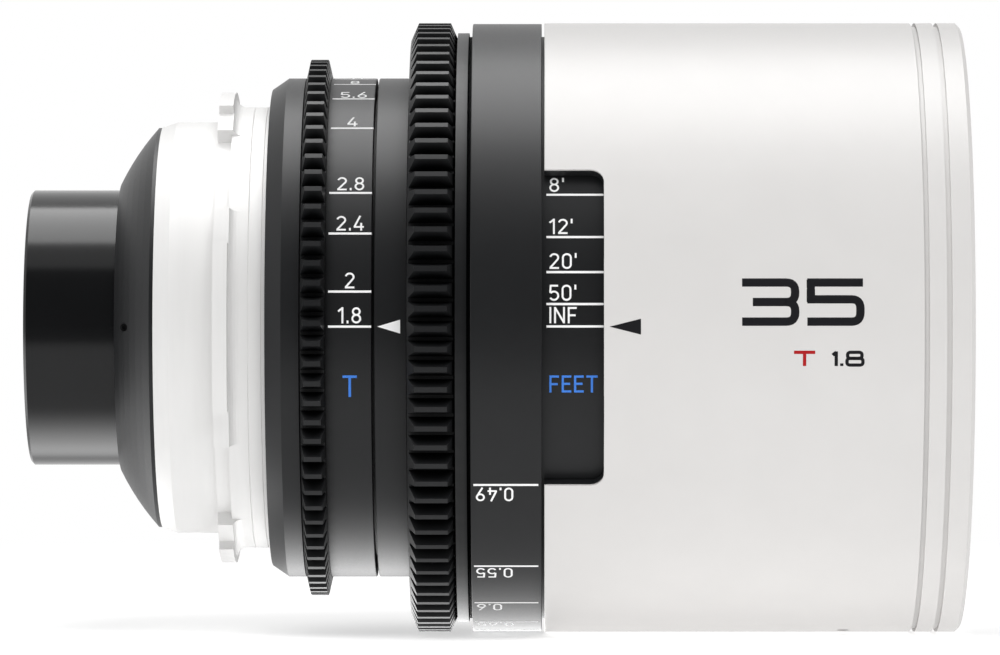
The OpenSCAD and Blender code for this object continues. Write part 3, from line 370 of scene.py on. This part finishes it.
def flat_text(words, height, stroke, anchor="LEFT", face=CHARACTERS, stretch=STRETCH, space=SPACE):
    """Characters cut by a round tool and filled; their base line starts, ends or is centred at 0."""
    same_point = 0.01
    longest_step = 0.16
    curve = bpy.data.curves.new("strokes", "CURVE")
    curve.dimensions = "3D"
    curve.bevel_depth = stroke / 2
    curve.bevel_resolution = 2
    curve.use_fill_caps = True
    share = stroke / height
    pen = 0.0
    for character in words:
        width, strokes = face[character]
        for points in strokes:
            closed = math.dist(points[0], points[-1]) < same_point
            line = finely(points, longest_step)
            kept = line[:-1] if closed else line
            spline = curve.splines.new("POLY")
            spline.points.add(len(kept) - 1)
            spline.use_cyclic_u = closed
            for knot, (x, y) in zip(spline.points, kept):
                level = share / 2 + (y - LOW) / (TOP - LOW) * (1.0 - share)
                knot.co = (pen + x * height * stretch, level * height, 0.0, 1.0)
        pen += (width * stretch + space) * height
    pen -= space * height
    letters = bpy.data.objects.new("strokes", curve)
    bpy.context.scene.collection.objects.link(letters)
    activate(letters)
    bpy.ops.object.convert(target="MESH")
    letters = bpy.context.object
    back = {"LEFT": 0.0, "CENTER": pen / 2, "RIGHT": pen}[anchor]
    for vertex in letters.data.vertices:
        vertex.co.x -= back
        depth = sizes().proud if vertex.co.z > 0.0 else sizes().sunk
        vertex.co.z *= depth / (stroke / 2)
    return letters


# Finishes

# Grain as wide as long, and grain drawn out round the axis as on a turned skin
EVEN = (1.0, 1.0, 1.0)
TURNED = (12.0, 1.0, 1.0)

# Size of the broad pattern against the grain, and the part of a noise's range that is used
BROAD = 40.0
NOISE_MIDDLE = (0.3, 0.7)

# Sockets of a colour mix that share their names with others
MIX_FIRST = 6
MIX_SECOND = 7
MIX_RESULT = 2

# Share of open light in a gap that counts as dark and as bright, and the tone of the painted shade in a
# dark gap
GAP_LIGHT = (0.4, 0.9)
GAP_SHADE_TONE = 0.1

BRASS = (0.62, 0.46, 0.2)
STEEL = (0.3, 0.3, 0.31)
GLASS_TINT = (0.93, 0.96, 0.97)
GLASS_IOR = 1.52


def new_finish(name, colour, roughness, metallic=0.0, specular=0.5):
    """A material whose constant values sit on the shader's own sockets."""
    finish = bpy.data.materials.new(name)
    finish.use_nodes = True
    shader = finish.node_tree.nodes["Principled BSDF"]
    shader.inputs["Base Color"].default_value = (*colour, 1.0)
    shader.inputs["Roughness"].default_value = roughness
    shader.inputs["Metallic"].default_value = metallic
    shader.inputs["Specular IOR Level"].default_value = specular
    return finish


def place_node(tree, kind, **settings):
    node = tree.nodes.new(kind)
    for key, value in settings.items():
        setattr(node, key, value)
    return node


def feed(tree, socket, value):
    """Links a socket to another one, or gives it a plain value."""
    if isinstance(value, bpy.types.NodeSocket):
        tree.links.new(value, socket)
    else:
        socket.default_value = value


def calculate(tree, operation, *values):
    """The result of a math node on sockets and plain values."""
    node = place_node(tree, "ShaderNodeMath", operation=operation)
    for socket, value in zip(node.inputs, values):
        feed(tree, socket, value)
    return node.outputs["Value"]


def remap(tree, value, before, after, curve="LINEAR"):
    """Maps a value from one range to another and keeps it inside."""
    node = place_node(tree, "ShaderNodeMapRange", interpolation_type=curve)
    feed(tree, node.inputs["Value"], value)
    for end, old, new in zip(("Min", "Max"), before, after):
        feed(tree, node.inputs["From " + end], old)
        feed(tree, node.inputs["To " + end], new)
    return node.outputs["Result"]


def noise(tree, size, stretch=EVEN, detail=2.0):
    """Noise on object coordinates whose features are about as large as size, in metres."""
    place = place_node(tree, "ShaderNodeTexCoord")
    mapping = place_node(tree, "ShaderNodeMapping")
    mapping.inputs["Scale"].default_value = stretch
    pattern = place_node(tree, "ShaderNodeTexNoise")
    pattern.inputs["Scale"].default_value = 1.0 / size
    pattern.inputs["Detail"].default_value = detail
    tree.links.new(place.outputs["Object"], mapping.inputs["Vector"])
    tree.links.new(mapping.outputs["Vector"], pattern.inputs["Vector"])
    return pattern.outputs["Fac"]


def mix_colours(tree, factor, first, second):
    """Mixes two colours, each of them a socket or three numbers."""
    mix = place_node(tree, "ShaderNodeMix", data_type="RGBA")
    for socket, value in ((mix.inputs[MIX_FIRST], first), (mix.inputs[MIX_SECOND], second)):
        feed(tree, socket, value if isinstance(value, bpy.types.NodeSocket) else (*value, 1.0))
    tree.links.new(factor, mix.inputs["Factor"])
    return mix.outputs[MIX_RESULT]


def beyond_radius(tree, radius):
    """1 outside a radius about the optical axis, 0 inside."""
    place = place_node(tree, "ShaderNodeTexCoord")
    flat = place_node(tree, "ShaderNodeVectorMath", operation="MULTIPLY")
    flat.inputs[1].default_value = (0.0, 1.0, 1.0)
    length = place_node(tree, "ShaderNodeVectorMath", operation="LENGTH")
    tree.links.new(place.outputs["Object"], flat.inputs[0])
    tree.links.new(flat.outputs["Vector"], length.inputs[0])
    return calculate(tree, "GREATER_THAN", length.outputs["Value"], radius)


def tone(colour, factor):
    return tuple(min(1.0, channel * factor) for channel in colour)


def add_grain(finish, colour, size, roughness, bump, depth, variation, stretch=EVEN, inside=None,
              inside_r=0.0):
    """Fine grain in colour, roughness and relief, and a second colour inside a radius."""
    tree = finish.node_tree
    shader = tree.nodes["Principled BSDF"]
    fine = noise(tree, size, stretch)
    broad = noise(tree, BROAD * size, stretch, detail=3.0)
    varied = mix_colours(tree, broad, tone(colour, 1.0 - variation), tone(colour, 1.0 + variation))
    if inside is not None:
        varied = mix_colours(tree, beyond_radius(tree, inside_r), inside, varied)
    tree.links.new(varied, shader.inputs["Base Color"])
    tree.links.new(remap(tree, fine, NOISE_MIDDLE, roughness), shader.inputs["Roughness"])
    relief = place_node(tree, "ShaderNodeBump")
    relief.inputs["Strength"].default_value = bump
    relief.inputs["Distance"].default_value = depth
    tree.links.new(fine, relief.inputs["Height"])
    tree.links.new(relief.outputs["Normal"], shader.inputs["Normal"])
    return finish


def anodised_black(name, factor=1.0, roughness=(0.36, 0.46), specular=0.3):
    colour = tone(colours().ring_black, factor)
    finish = new_finish(name, colour, roughness[0], specular=specular)
    return add_grain(finish, colour, size=0.12 * MM, roughness=roughness, bump=0.12,
                     depth=0.01 * MM, variation=0.12)


def gear_black_painted_shade(name, reach):
    """Anodised black with painted shade: colour and gloss darker in gaps narrower than about a reach,
    where little light comes.
    """
    finish = anodised_black(name)
    tree = finish.node_tree
    shader = tree.nodes["Principled BSDF"]
    gap = place_node(tree, "ShaderNodeAmbientOcclusion", samples=8, only_local=True)
    gap.inputs["Distance"].default_value = reach
    # Painted shade: ambient occlusion darkens the colour and the gloss inside the gaps
    light = remap(tree, gap.outputs["AO"], GAP_LIGHT, (0.0, 1.0))
    colour = shader.inputs["Base Color"]
    dark = tone(colours().ring_black, GAP_SHADE_TONE)
    tree.links.new(mix_colours(tree, light, dark, colour.links[0].from_socket), colour)
    gloss = shader.inputs["Specular IOR Level"]
    tree.links.new(calculate(tree, "MULTIPLY", light, gloss.default_value), gloss)
    return finish


def blasted_white(name, inside_r):
    """Blasted white with a black inside."""
    colour = tuple(colours().barrel_white)
    finish = new_finish(name, colour, roughness=0.42)
    return add_grain(finish, colour, size=0.16 * MM, roughness=(0.36, 0.52), bump=0.25,
                     depth=0.012 * MM, variation=0.025, inside=tuple(colours().ring_black),
                     inside_r=inside_r)


def satin_metal(name, colour, roughness, metallic=1.0):
    finish = new_finish(name, colour, roughness[0], metallic=metallic)
    return add_grain(finish, colour, size=0.4 * MM, roughness=roughness, bump=0.08,
                     depth=0.008 * MM, variation=0.04, stretch=TURNED)


def paint(name, colour):
    finish = new_finish(name, colour, roughness=0.5, specular=0.12)
    return add_grain(finish, colour, size=0.08 * MM, roughness=(0.45, 0.6), bump=0.1,
                     depth=0.004 * MM, variation=0.05)


def coated_glass(name):
    """Clear glass whose coating leaves little of its reflection."""
    finish = new_finish(name, GLASS_TINT, roughness=0.0)
    tree = finish.node_tree
    shader = tree.nodes["Principled BSDF"]
    shader.inputs["Specular Tint"].default_value = (*colours().glass_coating, 1.0)
    shader.inputs["Transmission Weight"].default_value = 1.0
    shader.inputs["IOR"].default_value = GLASS_IOR
    haze = noise(tree, size=9.0 * MM, detail=1.0)
    varied = mix_colours(tree, haze, tone(GLASS_TINT, 0.97), GLASS_TINT)
    tree.links.new(varied, shader.inputs["Base Color"])
    return finish


def make_finishes():
    """The finish of every record slot and of the nodes that differ from their slot."""
    silver = tuple(colours().mount_silver)
    by_slot = {
        "black_anodised": anodised_black("black_anodised"),
        "white_anodised": blasted_white("white_barrel", inside_r=BARREL_R - 0.3 * MM),
        "satin_steel": satin_metal("satin_mount", silver, roughness=(0.5, 0.6), metallic=0.15),
        "brass": satin_metal("turned_brass", BRASS, roughness=(0.25, 0.38)),
        "steel": satin_metal("dark_steel", STEEL, roughness=(0.3, 0.42)),
        "blade_steel": anodised_black("blade_black", 1.6, roughness=(0.4, 0.55), specular=0.35),
        "glass": coated_glass("coated_glass"),
    }
    # The gear rings' finish carries painted shade in the tooth gaps and corners
    geared_painted_shade = gear_black_painted_shade("gear_black_painted_shade", reach=2.0 * MM)
    by_node = {
        "rear_tube": anodised_black("gloss_black", 0.5, roughness=(0.14, 0.2)),
        "front_ring": blasted_white("white_front_ring", inside_r=BARREL_R - 1.2 * MM),
        "front_cell": anodised_black("matt_black", 0.8, roughness=(0.55, 0.7), specular=0.2),
        "front_baffle": anodised_black("baffle_black", 0.6, roughness=(0.6, 0.75), specular=0.15),
        "rear_thrust_washer": by_slot["black_anodised"],
        "iris_ring": geared_painted_shade,
        "focus_ring": geared_painted_shade,
    }
    return by_slot, by_node


class LENS_OT_finishes(Operator):
    """Gives every solid of the lens its finish"""
    bl_idname = "lens.finishes"
    bl_label = "Finishes"

    def execute(self, context):
        by_slot, by_node = make_finishes()
        slots = {part["node"]: part["material_slot"] for part in frame["record"]["subparts"]}
        for name, solid in frame["nodes"].items():
            finish = by_node.get(name, by_slot[slots[name]])
            if not solid.material_slots:
                solid.data.materials.append(finish)
            for socket in solid.material_slots:
                socket.material = finish
        return {"FINISHED"}


# Marks

def scale_marks(entries, start_x, end_x, radius, label_x, anchor, turned_over=False, zero=0.0,
                stretch=STRETCH):
    """Lines and labels of one scale, each label just above its line."""
    marks = []
    gap = LABEL_GAP + sizes().line_width / 2
    for words, angle in entries:
        place = zero + angle
        line = flat_bar(end_x - start_x, sizes().line_width)
        label = flat_text(words, sizes().digit_height, sizes().digit_stroke, anchor, stretch=stretch)
        for vertex in label.data.vertices:
            vertex.co.y += gap
        line_x = end_x if turned_over else start_x
        marks.append(wrap(line, radius, line_x, place, turned_over))
        marks.append(wrap(label, radius, label_x, place, turned_over))
    return marks


def paint_marks(marks, name, colour, body):
    """Joins marks into one piece, paints it and gives it the slot of a pale or a dark paint."""
    dress(join(marks, name), bpy.data.materials[colour], body)


class LENS_OT_stop_scale(Operator):
    """Makes the stop scale on the iris ring"""
    bl_idname = "lens.stop_scale"
    bl_label = "Stop scale"

    def execute(self, context):
        start_x = IRIS_END_X - 5.5 * MM
        end_x = IRIS_END_X - 0.03 * MM
        middle = (start_x + end_x) / 2
        letter_height = 2.8 * MM
        letter_stroke = 0.34 * MM
        letter_angle = -15.6
        marks = scale_marks(STOPS, start_x, end_x, BODY_R, middle, "CENTER", zero=STOP_INDEX_ANGLE)
        paint_marks(marks, "stop_scale", "mark_white", "iris")
        letter = flat_text("T", letter_height, letter_stroke, "CENTER")
        wrap(letter, BODY_R, middle, letter_angle)
        paint_marks([letter], "stop_letter", "mark_blue", "iris")
        return {"FINISHED"}


class LENS_OT_feet_scale(Operator):
    """Makes the distance scale in feet on the drum"""
    bl_idname = "lens.feet_scale"
    bl_label = "Feet scale"

    def execute(self, context):
        start_x = BARREL_X + 0.25 * MM
        end_x = BARREL_X + 7.5 * MM
        label_x = start_x + 0.35 * MM
        word_height = 2.2 * MM
        word_stroke = 0.29 * MM
        word_angle = -12.4
        entries = [INFINITY] + [(words, focus_angle(feet * FOOT)) for words, feet in FEET]
        marks = scale_marks(entries, start_x, end_x, DRUM_R, label_x, "LEFT")
        paint_marks(marks, "feet_scale", "mark_white", "focus")
        word = flat_text("FEET", word_height, word_stroke)
        wrap(word, DRUM_R, label_x, word_angle)
        paint_marks([word], "feet_word", "mark_blue", "focus")
        return {"FINISHED"}


class LENS_OT_metre_scale(Operator):
    """Makes the distance scale in metres on the focus ring, read from the far side"""
    bl_idname = "lens.metre_scale"
    bl_label = "Metre scale"

    def execute(self, context):
        start_x = FOCUS_END_X - 8.65 * MM
        end_x = FOCUS_END_X - 0.42 * MM
        label_x = start_x + 0.3 * MM
        word_height = 1.6 * MM
        word_stroke = 0.2 * MM
        word_angle = FAR_SIDE - 9.0
        entries = [INFINITY] + [(words, focus_angle(metres)) for words, metres in METRES]
        marks = scale_marks(entries, start_x, end_x, BAND_R, label_x, "RIGHT", turned_over=True,
                            zero=-FAR_SIDE, stretch=1.02)
        paint_marks(marks, "metre_scale", "mark_white", "focus")
        word = flat_text("METRES", word_height, word_stroke, "RIGHT", stretch=0.95, space=0.25)
        wrap(word, BAND_R, label_x, word_angle, turned_over=True)
        paint_marks([word], "metre_word", "mark_blue", "focus")
        return {"FINISHED"}


class LENS_OT_index_marks(Operator):
    """Makes the index marks that the scales are read at"""
    bl_idname = "lens.index_marks"
    bl_label = "Index marks"

    def execute(self, context):
        stop_x = IRIS_END_X + 0.75 * MM
        near_x = BARREL_X + 8.2 * MM
        far_x = BARREL_X + 0.6 * MM
        near_angle = 0.15
        stop_index = flat_triangle(length=2.9 * MM, height=1.75 * MM)
        wrap(stop_index, BODY_R, stop_x, STOP_INDEX_ANGLE)
        paint_marks([stop_index], "stop_index", "mark_white", "barrel")
        near = flat_triangle(length=3.95 * MM, height=2.0 * MM)
        wrap(near, BARREL_R, near_x, near_angle)
        far = flat_triangle(length=3.7 * MM, height=2.0 * MM)
        wrap(far, BARREL_R, far_x, FAR_SIDE)
        paint_marks([near, far], "focus_index", "mark_black", "barrel")
        return {"FINISHED"}


class LENS_OT_barrel_figures(Operator):
    """Makes the focal length and the widest stop on the barrel"""
    bl_idname = "lens.barrel_figures"
    bl_label = "Barrel figures"

    def execute(self, context):
        right_x = BARREL_END_X - 7.7 * MM
        letter_x = right_x - 8.8 * MM
        length_angle = 0.3
        stop_angle = -7.1
        stop_height = 2.05 * MM
        stop_stroke = 0.43 * MM
        length = flat_text("35", sizes().figure_height, sizes().figure_stroke, "RIGHT", WIDE,
                           stretch=0.935, space=0.18)
        wrap(length, BARREL_R, right_x, length_angle)
        stop = flat_text("1.8", stop_height, stop_stroke, "RIGHT", WIDE, stretch=1.0, space=0.19)
        wrap(stop, BARREL_R, right_x, stop_angle)
        paint_marks([length, stop], "barrel_figures", "mark_black", "barrel")
        letter = flat_text("T", stop_height, stop_stroke, "LEFT", WIDE, stretch=1.0)
        wrap(letter, BARREL_R, letter_x, stop_angle)
        paint_marks([letter], "barrel_stop_letter", "mark_red", "barrel")
        return {"FINISHED"}


class LENS_OT_paints(Operator):
    """Makes the paints of the marks"""
    bl_idname = "lens.paints"
    bl_label = "Paints"

    def execute(self, context):
        for name in ("mark_white", "mark_blue", "mark_red", "mark_black"):
            paint(name, tuple(getattr(colours(), name)))
        return {"FINISHED"}


# Small parts

def socket_screw(diameter, length):
    """A headless screw along Z with its rounded top at 0 and a six-sided socket."""
    bevel = 0.08 * diameter
    socket_r = 0.29 * diameter
    sharp = math.radians(60.0)
    deselect()
    bpy.ops.mesh.primitive_cylinder_add(vertices=40, radius=diameter / 2, depth=length)
    screw = bpy.context.object
    screw.location = (0.0, 0.0, -length / 2)
    bpy.ops.object.transform_apply(location=True, rotation=True, scale=True)
    bpy.ops.object.mode_set(mode="EDIT")
    bpy.ops.mesh.select_mode(type="EDGE")
    bpy.ops.mesh.select_all(action="DESELECT")
    bpy.ops.mesh.edges_select_sharp(sharpness=sharp)
    bpy.ops.mesh.bevel(offset=bevel, segments=2)
    bpy.ops.object.mode_set(mode="OBJECT")
    deselect()
    bpy.ops.mesh.primitive_cylinder_add(vertices=6, radius=socket_r, depth=diameter)
    key = bpy.context.object
    activate(screw)
    cut = screw.modifiers.new("socket", "BOOLEAN")
    cut.operation = "DIFFERENCE"
    cut.object = key
    bpy.ops.object.modifier_apply(modifier="socket")
    bpy.data.objects.remove(key, do_unlink=True)
    return screw


def copy_piece(piece):
    twin = piece.copy()
    twin.data = piece.data.copy()
    bpy.context.scene.collection.objects.link(twin)
    return twin


def stand_on(piece, x, radius, angle):
    """Stands a piece that points along Z on a skin, at x and at an angle up from the near side."""
    turn = math.radians(angle)
    out = Vector((0.0, -math.cos(turn), math.sin(turn)))
    side = Vector((0.0, math.sin(turn), math.cos(turn)))
    for vertex in piece.data.vertices:
        along, around, height = vertex.co
        vertex.co = Vector((x + along, 0.0, 0.0)) + side * around + out * (radius + height)
    piece.data.update()


class LENS_OT_socket_screws(Operator):
    """Makes the headless screws of the cone and of the front barrel"""
    bl_idname = "lens.socket_screws"
    bl_label = "Socket screws"

    def execute(self, context):
        oxide = anodised_black("black_oxide", 0.7, roughness=(0.3, 0.4), specular=0.25)
        apart = 120.0
        cone_d = 1.0 * MM
        cone_length = 1.0 * MM
        cone_sunk = 0.12 * MM
        low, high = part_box("cone_grub_screws")
        middle = (low + high) / 2
        first = socket_screw(cone_d, cone_length)
        screws = [first, copy_piece(first), copy_piece(first)]
        for number, screw in enumerate(screws):
            stand_on(screw, middle.x, -low.y - cone_sunk, apart * number)
        cone = join(screws, "cone_socket_screws")
        dress(cone, oxide, "barrel")
        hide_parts("cone_grub_screws")

        barrel_d = 1.5 * MM
        barrel_length = 2.4 * MM
        barrel_sunk = 0.4 * MM
        low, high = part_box("barrel_grub_screw")
        middle = (low + high) / 2
        screw = socket_screw(barrel_d, barrel_length)
        angle = math.degrees(math.atan2(middle.z, -middle.y))
        stand_on(screw, middle.x, BARREL_R - barrel_sunk, angle)
        barrel = join([screw], "barrel_socket_screw")
        dress(barrel, oxide, "barrel")
        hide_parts("barrel_grub_screw")
        return {"FINISHED"}


class LENS_OT_filter_thread(Operator):
    """Makes the filter thread's ridges inside the front ring"""
    bl_idname = "lens.filter_thread"
    bl_label = "Filter thread"

    def execute(self, context):
        pitch = 0.75 * MM
        crest = 0.35 * MM
        root = BARREL_R - 1.49 * MM
        start_x = FRONT_X - 4.9 * MM
        rounds = 5
        steps = 120
        same_point = 0.001 * MM
        deselect()
        bpy.ops.mesh.primitive_circle_add(vertices=3, radius=1.0)
        ridge = bpy.context.object
        corners = ((start_x, root), (start_x + pitch / 2, root - crest), (start_x + pitch, root))
        for vertex, (x, radius) in zip(ridge.data.vertices, corners):
            vertex.co = (x, -radius, 0.0)
        turns = ridge.modifiers.new("turns", "SCREW")
        turns.axis = "X"
        turns.angle = math.radians(360.0)
        turns.screw_offset = pitch
        turns.iterations = rounds
        turns.steps = steps
        turns.render_steps = steps
        bpy.ops.object.modifier_apply(modifier="turns")
        bpy.ops.object.mode_set(mode="EDIT")
        bpy.ops.mesh.select_all(action="SELECT")
        bpy.ops.mesh.remove_doubles(threshold=same_point)
        bpy.ops.mesh.fill_holes(sides=3)
        bpy.ops.mesh.normals_make_consistent(inside=False)
        bpy.ops.object.mode_set(mode="OBJECT")
        thread = join([ridge], "filter_thread")
        dress(thread, bpy.data.materials["black_anodised"], "barrel")
        return {"FINISHED"}


# Stage

WHITE = (1.0, 1.0, 1.0)
MIDDLE_X = 0.04
UPRIGHT = (math.radians(90.0), 0.0, 0.0)

# The light table: its colour and own light, and how far from the lens it turns plain white
FLOOR_SIZE = 12.0
FLOOR_GAP = 0.1 * MM
TABLE_COLOUR = (0.86, 0.86, 0.86)
TABLE_LIGHT = 0.57
TABLE_FADE = (0.1, 0.4)

# The table in gloss: places across the axis, with the brightness that belongs to each
STRIP_EDGES = (2.0 * MM, 26.0 * MM)
STRIP_LIGHT = (5.0, 1.0)
FRONT_EDGES = (-0.24, -0.12)
FRONT_LIGHT = (0.08, 1.0)
MOUNT_SHIFT = 4.0 * MM

# The dark card behind the camera, and the light of the room
CARD_PLACE = (MIDDLE_X, -1.3, 0.77)
CARD_SIZE = (3.2, 1.62, 1.0)
CARD_COLOUR = (0.04, 0.04, 0.04)
MATT = 0.9
ROOM_LIGHT = 0.48

# The camera of the photograph
CAMERA_PLACE = (0.04237, -0.9036, 0.0)
CAMERA_SENSOR = 36.0
CAMERA_LENS = 247.2
CAMERA_SHIFT = -0.0451
CAMERA_REACH = 50.0


def soft_box(name, place, width, length, power):
    """A rectangular light that points at the lens."""
    light = bpy.data.lights.new(name, "AREA")
    light.shape = "RECTANGLE"
    light.size = width
    light.size_y = length
    light.energy = power
    lamp = bpy.data.objects.new(name, light)
    lamp.location = place
    aim = Vector((MIDDLE_X, 0.0, 0.0)) - Vector(place)
    lamp.rotation_euler = aim.to_track_quat("-Z", "Y").to_euler()
    bpy.context.scene.collection.objects.link(lamp)
    return lamp


def show_instead(tree, factor, lit, plain, output):
    """Shows a plain shader instead of a lit one, by a factor."""
    mix = place_node(tree, "ShaderNodeMixShader")
    tree.links.new(factor, mix.inputs["Fac"])
    tree.links.new(lit.outputs[0], mix.inputs[1])
    tree.links.new(plain.outputs[0], mix.inputs[2])
    tree.links.new(mix.outputs[0], tree.nodes[output].inputs["Surface"])


def glow_strip(tree, place):
    """Brightness of the table in gloss: a strip glows under the black parts, and the front is dim."""
    parts = place_node(tree, "ShaderNodeSeparateXYZ")
    tree.links.new(place.outputs["Object"], parts.inputs["Vector"])
    x = parts.outputs["X"]
    y = parts.outputs["Y"]
    mount_middle = (MOUNT_X + COLLAR_X) / 2 - MOUNT_SHIFT
    mount_half = (COLLAR_X - MOUNT_X) / 2
    past_rings = calculate(tree, "GREATER_THAN", x, BARREL_X)
    at_mount = calculate(tree, "COMPARE", x, mount_middle, mount_half)
    # Under a pale part the distance counts as a metre, so that nothing glows there
    pale = calculate(tree, "MAXIMUM", past_rings, at_mount)
    away = calculate(tree, "MAXIMUM", calculate(tree, "ABSOLUTE", y), pale)
    strip = remap(tree, away, STRIP_EDGES, STRIP_LIGHT, "SMOOTHSTEP")
    front = remap(tree, y, FRONT_EDGES, FRONT_LIGHT, "SMOOTHSTEP")
    return calculate(tree, "MULTIPLY", strip, front)


def floor_finish():
    """A pale light table, plain white far from the lens and in glass, with a glow of its own in gloss."""
    finish = new_finish("light_table", TABLE_COLOUR, MATT, specular=0.0)
    tree = finish.node_tree
    shader = tree.nodes["Principled BSDF"]
    shader.inputs["Emission Color"].default_value = (*WHITE, 1.0)
    shader.inputs["Emission Strength"].default_value = TABLE_LIGHT
    place = place_node(tree, "ShaderNodeTexCoord")
    centred = place_node(tree, "ShaderNodeMapping")
    centred.inputs["Location"].default_value = (-MIDDLE_X, 0.0, 0.0)
    length = place_node(tree, "ShaderNodeVectorMath", operation="LENGTH")
    tree.links.new(place.outputs["Object"], centred.inputs["Vector"])
    tree.links.new(centred.outputs["Vector"], length.inputs[0])
    fade = remap(tree, length.outputs["Value"], TABLE_FADE, (0.0, 1.0), "SMOOTHSTEP")
    rays = place_node(tree, "ShaderNodeLightPath").outputs
    far = calculate(tree, "MULTIPLY", fade, rays["Is Camera Ray"])
    shiny = calculate(tree, "MAXIMUM", rays["Is Glossy Ray"], rays["Is Transmission Ray"])
    white = place_node(tree, "ShaderNodeEmission")
    brightness = remap(tree, rays["Is Glossy Ray"], (0.0, 1.0), (1.0, glow_strip(tree, place)))
    tree.links.new(brightness, white.inputs["Strength"])
    seen = calculate(tree, "MAXIMUM", far, shiny)
    show_instead(tree, seen, shader, white, "Material Output")
    return finish


def studio_world():
    """A dim white room that the camera, gloss and glass see as plain white."""
    world = bpy.data.worlds.new("studio")
    world.use_nodes = True
    tree = world.node_tree
    room = tree.nodes["Background"]
    room.inputs["Color"].default_value = (*WHITE, 1.0)
    room.inputs["Strength"].default_value = ROOM_LIGHT
    plain = place_node(tree, "ShaderNodeBackground")
    plain.inputs["Color"].default_value = (*WHITE, 1.0)
    rays = place_node(tree, "ShaderNodeLightPath").outputs
    shiny = calculate(tree, "MAXIMUM", rays["Is Glossy Ray"], rays["Is Transmission Ray"])
    seen = calculate(tree, "MAXIMUM", rays["Is Camera Ray"], shiny)
    show_instead(tree, seen, room, plain, "World Output")
    return world


def photo_camera():
    """A camera that sees the lens as the photograph does."""
    camera = bpy.data.cameras.new("photo_view")
    camera.sensor_width = CAMERA_SENSOR
    camera.lens = CAMERA_LENS
    camera.shift_x = CAMERA_SHIFT
    camera.clip_end = CAMERA_REACH
    view = bpy.data.objects.new("photo_view", camera)
    view.location = CAMERA_PLACE
    view.rotation_euler = UPRIGHT
    bpy.context.scene.collection.objects.link(view)
    return view


class LENS_OT_stage(Operator):
    """Sets the floor, the light and the camera"""
    bl_idname = "lens.stage"
    bl_label = "Stage"

    def execute(self, context):
        scene = context.scene
        deselect()
        floor_z = CAD_BOX[0][2] - FLOOR_GAP
        bpy.ops.mesh.primitive_plane_add(size=FLOOR_SIZE, location=(0.0, 0.0, floor_z))
        floor = settle(bpy.context.object, "floor")
        floor.data.materials.append(floor_finish())

        deselect()
        bpy.ops.mesh.primitive_plane_add(size=1.0, location=CARD_PLACE, rotation=UPRIGHT)
        bpy.context.object.scale = CARD_SIZE
        card = settle(bpy.context.object, "dark_card")
        card.data.materials.append(new_finish("dark_card", CARD_COLOUR, MATT, specular=0.0))
        card.visible_camera = False
        card.visible_diffuse = False
        card.visible_transmission = False
        card.visible_shadow = False

        scene.world = studio_world()
        above = soft_box("soft_box_above", place=(MIDDLE_X, 0.08, 0.7), width=0.7, length=0.58,
                         power=7.3)
        above.visible_diffuse = False
        front = soft_box("soft_box_front", place=(MIDDLE_X, -0.5, 0.62), width=0.6, length=0.4,
                         power=2.8)
        front.visible_glossy = False
        scene.camera = photo_camera()
        scene.view_settings.view_transform = "Standard"
        return {"FINISHED"}


class LENS_PT_panel(Panel):
    """Lists the steps that dress the lens"""
    bl_label = "Cinema prime lens"
    bl_idname = "LENS_PT_panel"
    bl_space_type = "VIEW_3D"
    bl_region_type = "UI"
    bl_category = "Lens"

    def draw(self, context):
        for step in STEPS:
            self.layout.operator(step.bl_idname)
        for group in (context.scene.lens_colours, context.scene.lens_sizes):
            for name in group.__annotations__:
                self.layout.prop(group, name)


STEPS = (LENS_OT_finishes, LENS_OT_paints, LENS_OT_stop_scale, LENS_OT_feet_scale,
         LENS_OT_metre_scale, LENS_OT_index_marks, LENS_OT_barrel_figures, LENS_OT_socket_screws,
         LENS_OT_filter_thread, LENS_OT_stage)
CLASSES = (LensColours, LensSizes, *STEPS, LENS_PT_panel)


def register():
    for item in CLASSES:
        bpy.utils.register_class(item)
    bpy.types.Scene.lens_colours = PointerProperty(type=LensColours)
    bpy.types.Scene.lens_sizes = PointerProperty(type=LensSizes)


def unregister():
    del bpy.types.Scene.lens_sizes
    del bpy.types.Scene.lens_colours
    for item in reversed(CLASSES):
        bpy.utils.unregister_class(item)


def main():
    register()
    bpy.ops.lens.finishes()
    bpy.ops.lens.paints()
    bpy.ops.lens.stop_scale()
    bpy.ops.lens.feet_scale()
    bpy.ops.lens.metre_scale()
    bpy.ops.lens.index_marks()
    bpy.ops.lens.barrel_figures()
    bpy.ops.lens.socket_screws()
    bpy.ops.lens.filter_thread()
    bpy.ops.lens.stage()


if __name__ == "__main__":
    main()
